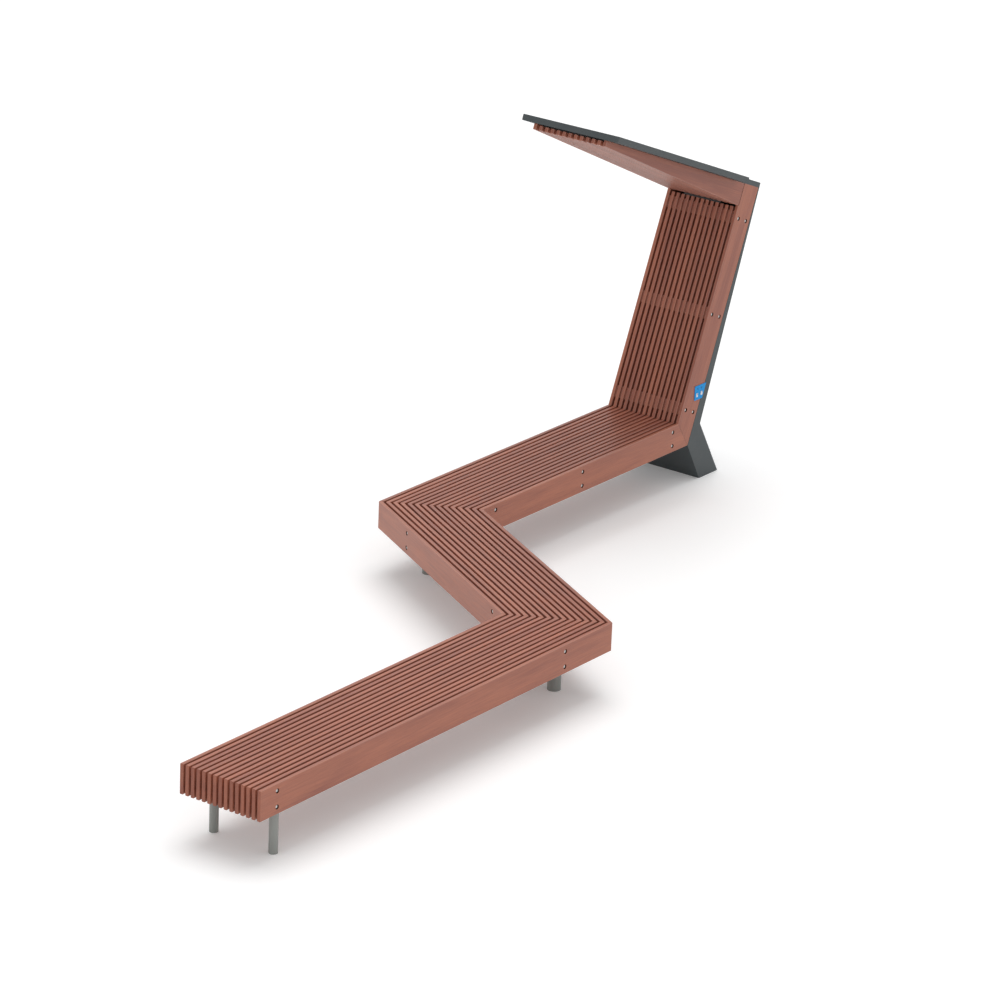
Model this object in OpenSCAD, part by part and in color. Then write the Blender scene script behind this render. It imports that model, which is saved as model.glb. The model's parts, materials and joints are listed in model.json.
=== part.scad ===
// Slatted park bench that turns two corners and rises at one end into a leaning slatted back.
// A steel foot and spine carry the back, and a slatted roof with a solar panel hangs over the seat.
// Millimetres, +Z up, ground at zero, origin below the middle of the whole outline.

/* [Timber] */
// height of the seat above the ground
seat_height = 450; // [420:5:480]
// thickness of every timber board
board_thick = 23; // [20:1:26]
// open gap between neighbouring boards
board_gap = 15.5; // [14.5:0.5:18]
// depth of the seat and back boards
board_depth = 180; // [170:5:200]
// longest edge of the free arm of the seat
length_a = 3200; // [2400:50:3600]
// edge of the middle arm between its corners
length_b = 1935; // [1500:15:2300]
// short edge of the arm that ends at the back
length_c = 2105; // [1700:5:2500]
// angle that the seat turns through at each corner
turn = 60; // [50:1:65]
// width of the broken edge on the boards
arris = 3; // [1:0.5:4]

/* [Back and roof] */
// lean of the back from upright
lean = 22.5; // [20:0.5:24]
// length of the back up to the roof, along its slope
back_height = 1620; // [1450:10:1700]
// how far the roof is out of square with the back
roof_drop = 1; // [0:0.25:2]
// reach of the roof timber in front of the back
roof_reach = 1696; // [1500:4:1700]
// depth of the roof boards at the back
wedge_root = 150; // [140:2:170]
// depth of the roof boards at the free end
wedge_tip = 40; // [34:1:50]
// length of the panel tray
tray_length = 1600; // [1560:10:1640]
// width of the panel tray
tray_width = 740; // [700:10:780]
// height of the panel tray's rim
tray_height = 40; // [38:1:46]

/* [Steel] */
// wall of the foot and the spine
steel_wall = 4; // [3:0.5:5]
// front of the foot behind the seat's back edge
foot_front = 276; // [250:2:300]
// rear of the foot behind the seat's back edge
foot_rear = 488; // [470:2:510]
// thickness of the spine at the knee
knee_depth = 77; // [72:1:90]
// height of the knee above the ground
knee_height = 389; // [370:1:400]
// thickness of the roof arm
arm_thick = 34; // [30:1:36]
// outside radius of the tubes under the free end
leg_r = 26; // [22:1:28]
// outside radius of the posts under the corners
post_r = 41; // [36:1:44]
// thickness of the plates that carry the boards
bearer_thick = 12; // [8:1:14]

/* [Service door and ports] */
// width of the service door
door_width = 336; // [300:4:340]
// height of the service door along the foot's slope
door_height = 290; // [270:2:300]
// height of the charging plate
plate_height = 97; // [94:1:110]

/* [Hidden] */
$fn = 48;

timber = [0.65, 0.42, 0.36];
dark_timber = [0.55, 0.35, 0.29];
dark_steel = [0.30, 0.33, 0.35];
leg_steel = [0.50, 0.53, 0.51];
bright_steel = [0.72, 0.72, 0.72];
black = [0.10, 0.10, 0.11];
blue = [0.23, 0.57, 0.80];
white = [0.93, 0.93, 0.92];
clear = [0.35, 0.42, 0.50, 0.5];
silicon = [0.06, 0.08, 0.20];
case_blue = [0.15, 0.20, 0.25];
case_grey = [0.20, 0.22, 0.24];
green = [0.15, 0.42, 0.25];
brass = [0.80, 0.65, 0.30];
dark_blue = [0.10, 0.35, 0.60];

// one overrun serves every cut, one air gap parts what moves
over = 6;
air = 0.3;

board_count = 15;
roof_count = 13;
pitch = board_thick + board_gap;
width = board_count * board_thick + (board_count - 1) * board_gap;
half_turn = turn / 2;
skew = tan(half_turn);
inner_a = length_a - width * skew;
c_x = length_a + length_b * cos(turn);
c_y = length_b * sin(turn);
seat_low = seat_height - board_depth;
mitre_run = board_depth * tan((90 - lean) / 2);
mitre_gap = 0.25;
far_side = c_y + width;

// bolts
bolt_edge = 43;
bolt_r = 5;
bolt_hole_r = 5.5;
head_flat = 17;
head_high = 6.4;
nut_high = 8;
washer_r = 12;
washer_thick = 2.5;
counter_r = 14;
counter_deep = 14;
bolt_tail = 3;
bolt_inset = 140;
corner_inset = 134;
last_inset = 56;
back_first = 100;
back_top = 230;
back_last = back_height - back_top;
stations_a = [bolt_inset, inner_a - corner_inset];
stations_b = [width * skew + bolt_inset, length_b - bolt_inset];
stations_c = [corner_inset, length_c / 2, length_c - last_inset];
stations_back = [back_first, (back_first + back_last) / 2, back_last];
bolt_depths = [bolt_edge, board_depth - bolt_edge];

// spacers
spacer_long = 80;
spacer_top = 16;
spacer_front = 8;
spacer_rear = 26;

// roof
roof_pitch = (width - board_thick) / (roof_count - 1);
slat_drop = 8;
strap_wide = 30;
strap_first = 60;
strap_step = 385;
strap_count = 5;
rib_thick = 10;
rib_inset = 12;
rib_short = 150;
rib_reach = roof_reach - rib_short;
rib_gap_index = 2;
tray_wall = 3;
tray_lead = 12;
tray_front = roof_reach + tray_lead;
tray_back = tray_front - tray_length;
tray_side = (tray_width - width) / 2;
tray_bolt_bay_share = 1.5;
tray_bolt_r = 4;
tray_bolt_head = 6.5;
tray_bolt_high = 4;
slat_clear = 12;
lamp_long = 290;
lamp_high = slat_clear - 2 * air;
lamp_deep = 8;

// solar panel, from the tray's floor upwards
frame_clear = 2;
frame_wall = 2.5;
frame_high = 35;
frame_foot = 22;
frame_foot_thick = 2;
frame_ledge = 10;
ledge_level = 28;
lip_thick = 1.5;
sheet_thick = 0.6;
cell_thick = 0.4;
cell_size = 156;
cell_gap = 3;
cell_columns = 4;
cell_rows = 9;
glass_thick = frame_high - lip_thick - ledge_level - sheet_thick - cell_thick;
box_long = 110;
box_wide = 90;
box_high = 24;
box_back = 150;

// cables
panel_cable_r = 3.5;
port_cable_r = 2.5;
lead_r = 3;
grommet_hole = 6;
grommet_flange = 7.4;
grommet_lip = 1.8;
cable_bay_index = 7;
cable_y = cable_bay_index * pitch + board_thick + board_gap / 2;
cable_entry = 1150;
entry_run = 60;
route_in = 24;
cable_floor = 7;
bend_high = 290;
bend_back = 40;
tail = 54;
port_tail = 30;
panel_way_index = 1;
port_way_index = 4;
lead_way_index = 2;
port_cable_m = 218;
port_exit = 9;
port_turn = 26;
port_low = 330;
port_side = 20;
port_back = 100;
lead_lift = 14;
lead_gap = 10;
lead_drop = 16;
lead_margin = 6;
void_top = 1440;

// foot and base
base_thick = 10;
anchor_r = 7;
anchor_x = 120;
anchor_y = 400;
bearer_wide = 90;
bearer_inset = 30;
bearer_hole_r = 4.5;
bearer_hole_share = 0.4;
corner_bearer_wide = 110;
corner_bearer_inset = 60;
leg_wall = 3;
post_wall = 4;
foot_disc = 8;
leg_anchor_r = 6.5;
leg_x = 204;
leg_side = 72.5;
bracket_reach = 80;
bracket_thick = 8;

// equipment in the foot
battery_x = 77;
battery_y = 181;
battery_z = 167;
battery_clear = 9;
battery_front = foot_front + battery_clear;
battery_side = 120;
terminal_r = 5;
terminal_high = 9;
terminal_inset = 27;
strap_thick = 2;
strap_width = 30;
strap_foot = 24;
web_clear = 26;
web_x = foot_front + web_clear;
web_thick = 3;
web_side = 312;
web_long = 140;
web_high = 180;
web_foot = 55;
unit_x = 38;
unit_y = 110;
unit_z = 100;
unit_low = 70;
block_x = 22;
block_y = 90;
block_z = 12;
block_ways = 6;
block_hole_r = 3.2;
block_hole_deep = 6;

// charging plate, socket and cap, in upright coordinates behind the seat's back edge
plate_x = 168;
plate_z = 567;
plate_thick = 4;
plate_edge = 190;
port_x = 197.5;
port_z = 605.5;
port_wide = 7;
port_high = 14;
port_rim = 1.5;
port_rim_wide = 10;
port_deep = 7;
slot_wide = 4.6;
slot_high = 12.4;
tongue_thick = 1.6;
socket_x = 239;
socket_z = 603;
socket_r = 6;
socket_ring_r = 9.5;
bezel_thick = 2;
module_deep = 30;
cap_r = 10.5;
cap_thick = 3;
cap_lift = 13.5;
cap_barrel_r = 2.5;
cap_pin_r = 1;
pin_play = 0.08;
cap_ear = 3;
cap_knuckle = 8;
screw_r = 6;
screw_high = 1.6;
screw_x = 200;
screw_z = 643;
screw_span = 40;

// service door on the rear slope of the foot
door_low = 70;
door_side = 113;
door_gap = 3;
door_thick = 4;
seal_thick = 3;
seal_width = 9;
frame_over = 8;
frame_in = 12;
frame_thick = 3;
knuckle_r = 5;
knuckle_long = 24;
hinge_lift = 5.5;
hinge_leaf = 10;
hinge_pin_r = 3;
hinge_play = 0.08;
hinge_inset = 45;
lock_edge = 27;
lock_head_r = 12;
lock_head_thick = 3;
lock_barrel_r = 8;
lock_hole_r = 8.3;
lock_key_r = 3;
lock_key_deep = 2;
cam_reach = 23;
cam_wide = 11;
cam_thick = 3;
lock_inset = 70;

// corners of the leaning back in its own frame: depth behind the front face, then height along it
knee_n = board_depth + knee_depth;
knee_m = (knee_height - seat_height + sin(lean) * knee_n) / cos(lean);
function upright(n, m) = [sin(lean) * m + cos(lean) * n, seat_height + cos(lean) * m - sin(lean) * n];
function roof_to_back(x, z) = [x * cos(roof_drop) - z * sin(roof_drop),
    back_height + x * sin(roof_drop) + z * cos(roof_drop)];
function back_to_roof(n, m) = [n * cos(roof_drop) + (m - back_height) * sin(roof_drop),
    (m - back_height) * cos(roof_drop) - n * sin(roof_drop)];
spine_top_depth = 7;
arm_rear_top = back_to_roof(board_depth + spine_top_depth, back_height + arm_thick + slat_drop / 2).x;
arm_corner = roof_to_back(arm_rear_top, arm_thick);
knee_point = [knee_n, knee_m];
function rear_n(m) = knee_n + (arm_corner.x - knee_n) * (m - knee_m) / (arm_corner.y - knee_m);
spine_meet_m = back_height + board_depth * tan(roof_drop);

function unit(v) = v / norm(v);
function cross2(a, b) = a.x * b.y - a.y * b.x;
function meet(p, d, q, e) = p + d * cross2(q - p, e) / cross2(d, e);
arm_low_corner = meet(knee_point, arm_corner - knee_point, roof_to_back(0, 0),
    roof_to_back(1, 0) - roof_to_back(0, 0));
arm_rear_low = back_to_roof(arm_low_corner.x, arm_low_corner.y);
function inset(p, w) = [for (i = [0 : len(p) - 1])
    let (a = p[(i + len(p) - 1) % len(p)], b = p[i], c = p[(i + 1) % len(p)],
        d = unit(b - a), e = unit(c - b))
    meet(b + w * [-d.y, d.x], d, b + w * [-e.y, e.x], e)];

// outline of foot and spine, seen from the near side
foot_a = [foot_front, 0];
foot_b = [foot_rear, 0];
knee_up = upright(knee_n, knee_m);
heel_up = [mitre_run, seat_low];
spine_outline = [foot_a, foot_b, knee_up, upright(arm_low_corner.x, arm_low_corner.y),
    upright(board_depth, spine_meet_m), heel_up];
foot_slope_front = (foot_a - heel_up) / seat_low;
foot_slope_rear = (foot_b - knee_up) / knee_height;
below = steel_wall + over;
hollow_outline = inset([foot_a + foot_slope_front * below, foot_b + foot_slope_rear * below, knee_up,
    upright(rear_n(void_top), void_top), upright(board_depth, void_top), heel_up], steel_wall);
rear_tilt = -atan2(foot_rear - knee_up.x, knee_height);
inner_front = foot_front + steel_wall / cos(atan2(foot_front - mitre_run, seat_low));
inner_rear = foot_rear - steel_wall / cos(rear_tilt);

mid_x = (c_x + length_c + upright(arm_corner.x, arm_corner.y).x) / 2;
mid_y = (far_side + tray_side) / 2;

// places
module bench() { translate([-mid_x, -mid_y, 0]) children(); }
module arm_a() { bench() children(); }
module arm_b() { bench() translate([length_a, 0, 0]) rotate(turn) children(); }
module arm_c() { bench() translate([c_x, c_y, 0]) children(); }
module at_foot() { arm_c() translate([length_c, 0, 0]) children(); }
module at_back() { at_foot() translate([0, 0, seat_height]) rotate([0, lean, 0]) children(); }
module at_roof() { at_back() translate([0, 0, back_height]) rotate([0, -roof_drop, 0]) children(); }
module at_slope() { at_foot() translate([foot_rear, 0, 0]) rotate([0, rear_tilt, 0]) children(); }

// a flat shape drawn in x and z, stretched along y
module along_y(from, to) { translate([0, to, 0]) rotate([90, 0, 0]) linear_extrude(to - from) children(); }
// a flat shape drawn in y and z, stretched along x
module along_x(from, to) { translate([from, 0, 0]) rotate([90, 0,
    90]) linear_extrude(to - from) children(); }
module rod_y(r, from, to) { translate([0, from, 0]) rotate([-90, 0, 0]) cylinder(r = r, h = to - from); }
module rod_x(r, from, to) { translate([from, 0, 0]) rotate([0, 90, 0]) cylinder(r = r, h = to - from); }

// cross-section of a board with broken edges
module eased(wide, high) {
    polygon([[arris, 0], [wide - arris, 0], [wide, arris], [wide, high - arris],
        [wide - arris, high], [arris, high], [0, high - arris], [0, arris]]);
}

// one seat board: start and end are its edges' lengths at local y of zero, each cut on the mitre
module seat_board(index, start, start_skew, end, end_skew, back_mitre) {
    y0 = index * pitch;
    y1 = y0 + board_thick;
    from = min(start + start_skew * y0, start + start_skew * y1) - over;
    to = max(end + end_skew * y0, end + end_skew * y1) + over + (back_mitre ? mitre_run : 0);
    intersection() {
        along_x(from, to) translate([y0, seat_low]) eased(board_thick, board_depth);
        if (back_mitre)
            translate([0, 0, seat_low - over]) linear_extrude(board_depth + 2 * over)
                polygon([[start + start_skew * y0, y0], [to, y0], [to, y1], [start + start_skew * y1, y1]]);
        else
            translate([0, 0, seat_low - over]) linear_extrude(board_depth + 2 * over)
                polygon([[start + start_skew * y0, y0], [end + end_skew * y0, y0],
                    [end + end_skew * y1, y1], [start + start_skew * y1, y1]]);
        if (back_mitre)
            along_y(y0 - over, y1 + over)
                polygon([[from, seat_low], [end + mitre_run, seat_low], [end, seat_height],
                    [from, seat_height]]);
    }
}
module board_a(index) { seat_board(index, 0, 0, length_a - mitre_gap, -skew, false); }
module board_b(index) { seat_board(index, mitre_gap, skew, length_b - mitre_gap, skew, false); }
module board_c(index) { seat_board(index, mitre_gap, -skew, length_c - mitre_gap, 0, true); }

// holes for the through bolts of a row of stations, with counterbores where a side is named
module seat_drill(stations, from, to, near_bore, far_bore) {
    for (x = stations, d = bolt_depths)
        translate([x, 0, seat_height - d]) {
            rod_y(bolt_hole_r, from - over, to + over);
            if (near_bore) rod_y(counter_r, -over, counter_deep);
            if (far_bore) rod_y(counter_r, width - counter_deep, width + over);
        }
}
module back_drill(from, to, near_bore, far_bore) {
    for (m = stations_back, d = bolt_depths)
        translate([d, 0, m]) {
            rod_y(bolt_hole_r, from - over, to + over);
            if (near_bore) rod_y(counter_r, -over, counter_deep);
            if (far_bore) rod_y(counter_r, width - counter_deep, width + over);
        }
}

module board_a_near() {
    color(timber) arm_a() difference() {
        board_a(0);
        seat_drill(stations_a, 0, board_thick, true, false);
    }
}
module board_a_far() {
    color(timber) arm_a() difference() {
        board_a(board_count - 1);
        seat_drill(stations_a, width - board_thick, width, false, true);
    }
}
module slats_a() {
    color(dark_timber) arm_a() for (i = [1 : board_count - 2]) difference() {
        board_a(i);
        seat_drill(stations_a, i * pitch, i * pitch + board_thick, false, false);
    }
}
module board_b_right() {
    color(timber) arm_b() difference() {
        board_b(0);
        seat_drill(stations_b, 0, board_thick, true, false);
    }
}
module board_b_left() {
    color(timber) arm_b() difference() {
        board_b(board_count - 1);
        seat_drill(stations_b, width - board_thick, width, false, true);
    }
}
module slats_b() {
    color(dark_timber) arm_b() for (i = [1 : board_count - 2]) difference() {
        board_b(i);
        seat_drill(stations_b, i * pitch, i * pitch + board_thick, false, false);
    }
}
module board_c_near() {
    color(timber) arm_c() difference() {
        board_c(0);
        seat_drill(stations_c, 0, board_thick, true, false);
    }
}
module board_c_far() {
    color(timber) arm_c() difference() {
        board_c(board_count - 1);
        seat_drill(stations_c, width - board_thick, width, false, true);
    }
}
module slats_c() {
    color(dark_timber) arm_c() for (i = [1 : board_count - 2]) difference() {
        board_c(i);
        seat_drill(stations_c, i * pitch, i * pitch + board_thick, false, false);
    }
}

// wooden spacers that fill each gap round a pair of bolts
module seat_spacer_row(stations) {
    for (x = stations, i = [0 : board_count - 2]) {
        y0 = i * pitch + board_thick;
        difference() {
            translate([x - spacer_long / 2, y0, seat_low + spacer_rear])
                cube([spacer_long, board_gap, board_depth - spacer_rear - spacer_top]);
            seat_drill([x], y0, y0 + board_gap, false, false);
        }
    }
}
module seat_spacers() {
    color(dark_timber) {
        arm_a() seat_spacer_row(stations_a);
        arm_b() seat_spacer_row(stations_b);
        arm_c() seat_spacer_row(stations_c);
    }
}
module back_spacers() {
    color(dark_timber) at_back() for (m = stations_back, i = [0 : board_count - 2]) {
        y0 = i * pitch + board_thick;
        difference() {
            translate([spacer_front, y0, m - spacer_long / 2])
                cube([board_depth - spacer_rear - spacer_front, board_gap, spacer_long]);
            for (d = bolt_depths) translate([d, 0, m]) rod_y(bolt_hole_r, y0 - over, y0 + board_gap + over);
        }
    }
}

// a back board, mitred on the seat and cut level with the roof arm
module back_board(index, top) {
    y0 = index * pitch;
    foot_m = -board_depth * tan((90 - lean) / 2);
    rise = board_depth * tan(roof_drop);
    intersection() {
        translate([0, 0, foot_m - over]) linear_extrude(top + rise - foot_m + 2 * over)
            translate([0, y0]) eased_plan(board_depth, board_thick);
        along_y(y0 - over, y0 + board_thick + over)
            polygon([[0, mitre_gap], [board_depth, foot_m + mitre_gap], [board_depth, top + rise],
                [0, top]]);
    }
}
module eased_plan(long, wide) {
    polygon([[arris, 0], [long - arris, 0], [long, arris], [long, wide - arris],
        [long - arris, wide], [arris, wide], [0, wide - arris], [0, arris]]);
}
module back_board_near() {
    color(timber) difference() {
        at_back() difference() {
            back_board(0, back_height);
            back_drill(0, board_thick, true, false);
        }
        at_foot() port_pockets(-over, board_thick + over);
    }
}
module back_board_far() {
    color(timber) at_back() difference() {
        back_board(board_count - 1, back_height);
        back_drill(width - board_thick, width, false, true);
    }
}
module back_slats() {
    color(dark_timber) at_back() for (i = [1 : board_count - 2]) difference() {
        back_board(i, back_height - wedge_root - slat_clear);
        back_drill(i * pitch, i * pitch + board_thick, false, false);
    }
}

// roof timber: boards that thin towards the free end and butt on the front of the back
function wedge_depth(x) = wedge_tip + (wedge_root - wedge_tip) * (x + roof_reach) / roof_reach;
module wedge(drop) {
    polygon([[-roof_reach, -wedge_tip], [-roof_reach, -drop], [-drop * tan(roof_drop), -drop],
        [-wedge_root * tan(roof_drop), -wedge_root]]);
}
module roof_board_near() {
    color(timber) at_roof() along_y(0, board_thick) wedge(0);
}
module roof_board_far() {
    color(timber) at_roof() along_y(width - board_thick, width) wedge(0);
}
module roof_slats() {
    color(dark_timber) at_roof() for (i = [1 : roof_count - 2])
        along_y(i * roof_pitch, i * roof_pitch + board_thick) wedge(slat_drop);
}
rib_y = board_thick + (roof_pitch - board_thick) / 2 + rib_gap_index * roof_pitch;
module rib() {
    polygon([[-rib_reach, -wedge_depth(-rib_reach) + rib_inset], [-rib_reach, -slat_drop],
        [-slat_drop * tan(roof_drop), -slat_drop],
        [-(wedge_root - rib_inset) * tan(roof_drop), -wedge_root + rib_inset]]);
}
module roof_ribs() {
    color(dark_steel) at_roof() for (y = [rib_y, width - rib_y])
        along_y(y - rib_thick / 2, y + rib_thick / 2) rib();
}
strap_places = [for (i = [0 : strap_count - 1]) -strap_first - i * strap_step];
tray_bolt_places = [for (i = [1 : strap_count - 1]) strap_places[i]];
tray_bolt_side = roof_pitch * tray_bolt_bay_share + board_thick / 2;
tray_bolt_y = [tray_bolt_side, width - tray_bolt_side];
module roof_straps() {
    color(dark_steel) at_roof() for (x = strap_places) difference() {
        translate([x - strap_wide / 2, board_thick, -slat_drop])
            cube([strap_wide, width - 2 * board_thick, slat_drop]);
        if (x < -tray_back) for (y = tray_bolt_y)
            translate([x, y, -slat_drop - over]) cylinder(r = tray_bolt_r + air, h = slat_drop + 2 * over);
    }
}
module lamp_bar() {
    color(black) at_back() difference() {
        translate([-lamp_deep, (width - lamp_long) / 2, back_height - wedge_root - lamp_high])
            cube([lamp_deep + spacer_front, lamp_long, lamp_high]);
        translate([-lamp_deep + over / 4, (width - lamp_long) / 2 + over,
            back_height - wedge_root - lamp_high - over])
            cube([lamp_deep, lamp_long - 2 * over, over + over / 4]);
    }
}

// through bolts, washers and nuts of the seat and the back
module each_bolt() {
    arm_a() for (x = stations_a, d = bolt_depths) translate([x, 0, seat_height - d]) children();
    arm_b() for (x = stations_b, d = bolt_depths) translate([x, 0, seat_height - d]) children();
    arm_c() for (x = stations_c, d = bolt_depths) translate([x, 0, seat_height - d]) children();
    at_back() for (m = stations_back, d = bolt_depths) translate([d, 0, m]) children();
}
seat_y = counter_deep - washer_thick;
module hexagon(flat, high) { cylinder(r = flat / 2 / cos(30), h = high, $fn = 6); }
module through_bolts() {
    color(bright_steel) each_bolt() {
        translate([0, seat_y, 0]) rotate([90, 0, 0]) hexagon(head_flat, head_high);
        rod_y(bolt_r, seat_y, width - seat_y + nut_high + bolt_tail / 2);
    }
}
module bolt_washers() {
    color(bright_steel) each_bolt() {
        difference() {
            rod_y(washer_r, seat_y, counter_deep);
            rod_y(bolt_hole_r, seat_y - over, counter_deep + over);
        }
        difference() {
            rod_y(washer_r, width - counter_deep, width - seat_y);
            rod_y(bolt_hole_r, width - counter_deep - over, width - seat_y + over);
        }
    }
}
module bolt_nuts() {
    color(bright_steel) each_bolt() difference() {
        translate([0, width - seat_y, 0]) rotate([-90, 0, 0]) hexagon(head_flat, nut_high);
        rod_y(bolt_r, width - seat_y - over, width - seat_y + nut_high + over);
    }
}

// supports of the seat
bearer_low = seat_low - bearer_thick;
module pipe(r, wall) {
    difference() {
        cylinder(r = r, h = bearer_low);
        translate([0, 0, foot_disc]) cylinder(r = r - wall, h = bearer_low);
        translate([0, 0, -over]) cylinder(r = leg_anchor_r, h = foot_disc + 2 * over);
    }
}
module end_legs() {
    color(leg_steel) arm_a() for (y = [leg_side, width - leg_side]) translate([leg_x, y, 0])
        pipe(leg_r, leg_wall);
}
corner_ab = [length_a - width * skew / 2, width / 2];
corner_bc = [c_x - width * skew / 2, c_y + width / 2];
module corner_posts() {
    color(leg_steel) bench() for (p = [corner_ab, corner_bc]) translate([p.x, p.y, 0])
        pipe(post_r, post_wall);
}
module bearer(long, wide) {
    difference() {
        translate([-wide / 2, -long / 2, bearer_low]) cube([wide, long, bearer_thick]);
        for (x = [-wide / 4, wide / 4], y = [-1 : 1])
            translate([x, y * long * bearer_hole_share, bearer_low - over])
                cylinder(r = bearer_hole_r, h = bearer_thick + 2 * over);
    }
}
module end_bearer() {
    color(dark_steel) arm_a() translate([leg_x, width / 2, 0])
        bearer(width - 2 * bearer_inset, bearer_wide);
}
module corner_bearers() {
    color(dark_steel) bench() for (p = [corner_ab, corner_bc])
        translate([p.x, p.y, 0]) rotate(atan(skew))
            bearer(width / cos(atan(skew)) - 2 * corner_bearer_inset, corner_bearer_wide);
}
module seat_bracket() {
    lean_run = foot_slope_front.x * bracket_thick;
    color(dark_steel) at_foot() along_y(bearer_inset, width - bearer_inset)
        polygon([[-bracket_reach, seat_low - bracket_thick], [-bracket_reach, seat_low],
            [mitre_run, seat_low], [mitre_run + lean_run, seat_low - bracket_thick]]);
}

// foot and spine, one welded hollow piece with its service opening
module spine() {
    color(dark_steel) difference() {
        at_foot() along_y(0, width) polygon(spine_outline);
        at_foot() along_y(steel_wall, width - steel_wall) polygon(hollow_outline);
        at_slope() translate([-steel_wall - over, door_side - door_gap, door_low - door_gap])
            cube([steel_wall + 2 * over, door_width + 2 * door_gap, door_height + 2 * door_gap]);
        at_back() translate([0, cable_y, cable_entry])
            rod_x(grommet_hole, board_depth - over, board_depth + steel_wall + over);
        at_back() translate([0, port_cable_y, port_cable_m])
            rod_x(grommet_hole, board_depth - over, board_depth + steel_wall + over);
    }
}
module base_plate() {
    color(dark_steel) difference() {
        at_foot() along_y(steel_wall, width - steel_wall)
            polygon([[inner_front, 0], [inner_rear, 0],
                [inner_rear + foot_slope_rear.x * -base_thick, base_thick],
                [inner_front + foot_slope_front.x * -base_thick, base_thick]]);
        at_foot() for (x = [-anchor_x / 2, anchor_x / 2], y = [-anchor_y / 2, anchor_y / 2])
            translate([(foot_front + foot_rear) / 2 + x, width / 2 + y, -over])
                cylinder(r = anchor_r, h = base_thick + 2 * over);
    }
}
arm_outline = [[-tray_back, 0], arm_rear_low, [arm_rear_top, arm_thick], [-tray_back, arm_thick]];
cable_drop_n = board_depth - panel_cable_r - grommet_lip - air;
cable_drop_x = back_to_roof(cable_drop_n, back_height).x;
tray_cable_z = tray_wall + frame_foot_thick + cable_floor;
module roof_arm() {
    color(dark_steel) at_roof() difference() {
        along_y(0, width) polygon(arm_outline);
        along_y(steel_wall, width - steel_wall) polygon(inset(arm_outline, steel_wall));
        translate([0, cable_y, tray_cable_z])
            rod_x(panel_cable_r + air, -tray_back - over, -tray_back + steel_wall + over);
        translate([cable_drop_x, cable_y, -over])
            cylinder(r = panel_cable_r + air, h = steel_wall + 2 * over);
    }
}

// tray and solar panel
module in_tray(gap) { at_roof() translate([-tray_front + gap, -tray_side + gap, 0]) children(); }
module roof_tray() {
    color(dark_steel) difference() {
        in_tray(0) cube([tray_length, tray_width, tray_height]);
        in_tray(tray_wall) translate([0, 0, tray_wall])
            cube([tray_length - 2 * tray_wall, tray_width - 2 * tray_wall, tray_height]);
        at_roof() for (x = tray_bolt_places, y = tray_bolt_y)
            translate([x, y, -over]) cylinder(r = tray_bolt_r + air, h = tray_wall + 2 * over);
        at_roof() translate([0, cable_y, tray_cable_z])
            rod_x(panel_cable_r + air, -tray_back - tray_wall - over, -tray_back + over);
    }
}
module tray_bolts() {
    color(bright_steel) at_roof() for (x = tray_bolt_places, y = tray_bolt_y) translate([x, y, 0]) {
        translate([0, 0, tray_wall]) cylinder(r = tray_bolt_head, h = tray_bolt_high);
        translate([0, 0, -slat_drop]) cylinder(r = tray_bolt_r, h = slat_drop + tray_wall);
    }
}
panel_inset = tray_wall + frame_clear;
panel_long = tray_length - 2 * panel_inset;
panel_wide = tray_width - 2 * panel_inset;
module ring(wide, from, high) {
    difference() {
        translate([0, 0, from]) cube([panel_long, panel_wide, high]);
        translate([wide, wide, from - over])
            cube([panel_long - 2 * wide, panel_wide - 2 * wide, high + 2 * over]);
    }
}
module panel_frame() {
    color(black) difference() {
        in_tray(panel_inset) translate([0, 0, tray_wall]) {
            ring(frame_wall, 0, frame_high);
            ring(frame_foot, 0, frame_foot_thick);
            ring(frame_ledge, ledge_level - lip_thick, lip_thick);
            ring(frame_ledge, frame_high - lip_thick, lip_thick);
        }
        at_roof() translate([0, cable_y, tray_cable_z])
            rod_x(panel_cable_r + air, -tray_back - panel_inset - frame_foot - over, -tray_back);
    }
}
module sheet(from, high) {
    in_tray(panel_inset + frame_wall) translate([0, 0, tray_wall + from])
        cube([panel_long - 2 * frame_wall, panel_wide - 2 * frame_wall, high]);
}
module panel_backsheet() { color(white) sheet(ledge_level, sheet_thick); }
module panel_glass() {
    color(clear) sheet(ledge_level + sheet_thick + cell_thick, glass_thick);
}
module panel_cells() {
    step = cell_size + cell_gap;
    color(silicon) in_tray(0)
        translate([(tray_length - cell_rows * step + cell_gap) / 2,
            (tray_width - cell_columns * step + cell_gap) / 2,
            tray_wall + ledge_level + sheet_thick])
        for (i = [0 : cell_rows - 1], j = [0 : cell_columns - 1])
            translate([i * step, j * step, 0]) cube([cell_size, cell_size, cell_thick]);
}
box_x = -tray_back - box_back;
module junction_box() {
    color(black) at_roof() translate([box_x - box_long, cable_y - box_wide / 2,
        tray_wall + ledge_level - box_high])
        cube([box_long, box_wide, box_high]);
}

// a cable along a list of points: each ring is the one before it, carried on to the mitre of the next bend
cable_side_count = 8;
function cable_ring(points, r, i) =
    let (d = unit(points[max(i, 1)] - points[max(i, 1) - 1]),
        side = unit(cross(d, abs(d.z) < 0.9 ? [0, 0, 1] : [1, 0, 0])),
        mitre = i == 0 || i == len(points) - 1 ? d : unit(d + unit(points[i + 1] - points[i])))
    i == 0 ? [for (j = [0 : cable_side_count - 1]) let (a = 360 * j / cable_side_count)
            points[0] + r * (cos(a) * side + sin(a) * cross(d, side))]
        : [for (v = cable_ring(points, r, i - 1)) v + d * ((points[i] - v) * mitre) / (d * mitre)];
module along(points, r) {
    n = cable_side_count;
    last = (len(points) - 1) * n;
    polyhedron([for (i = [0 : len(points) - 1]) each cable_ring(points, r, i)],
        [for (i = [0 : len(points) - 2], j = [0 : n - 1]) each
            let (a = i * n + j, b = i * n + (j + 1) % n) [[a, a + n, b + n], [a, b + n, b]],
        for (j = [1 : n - 2]) each [[0, j, j + 1], [last, last + j + 1, last + j]]]);
}
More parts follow.
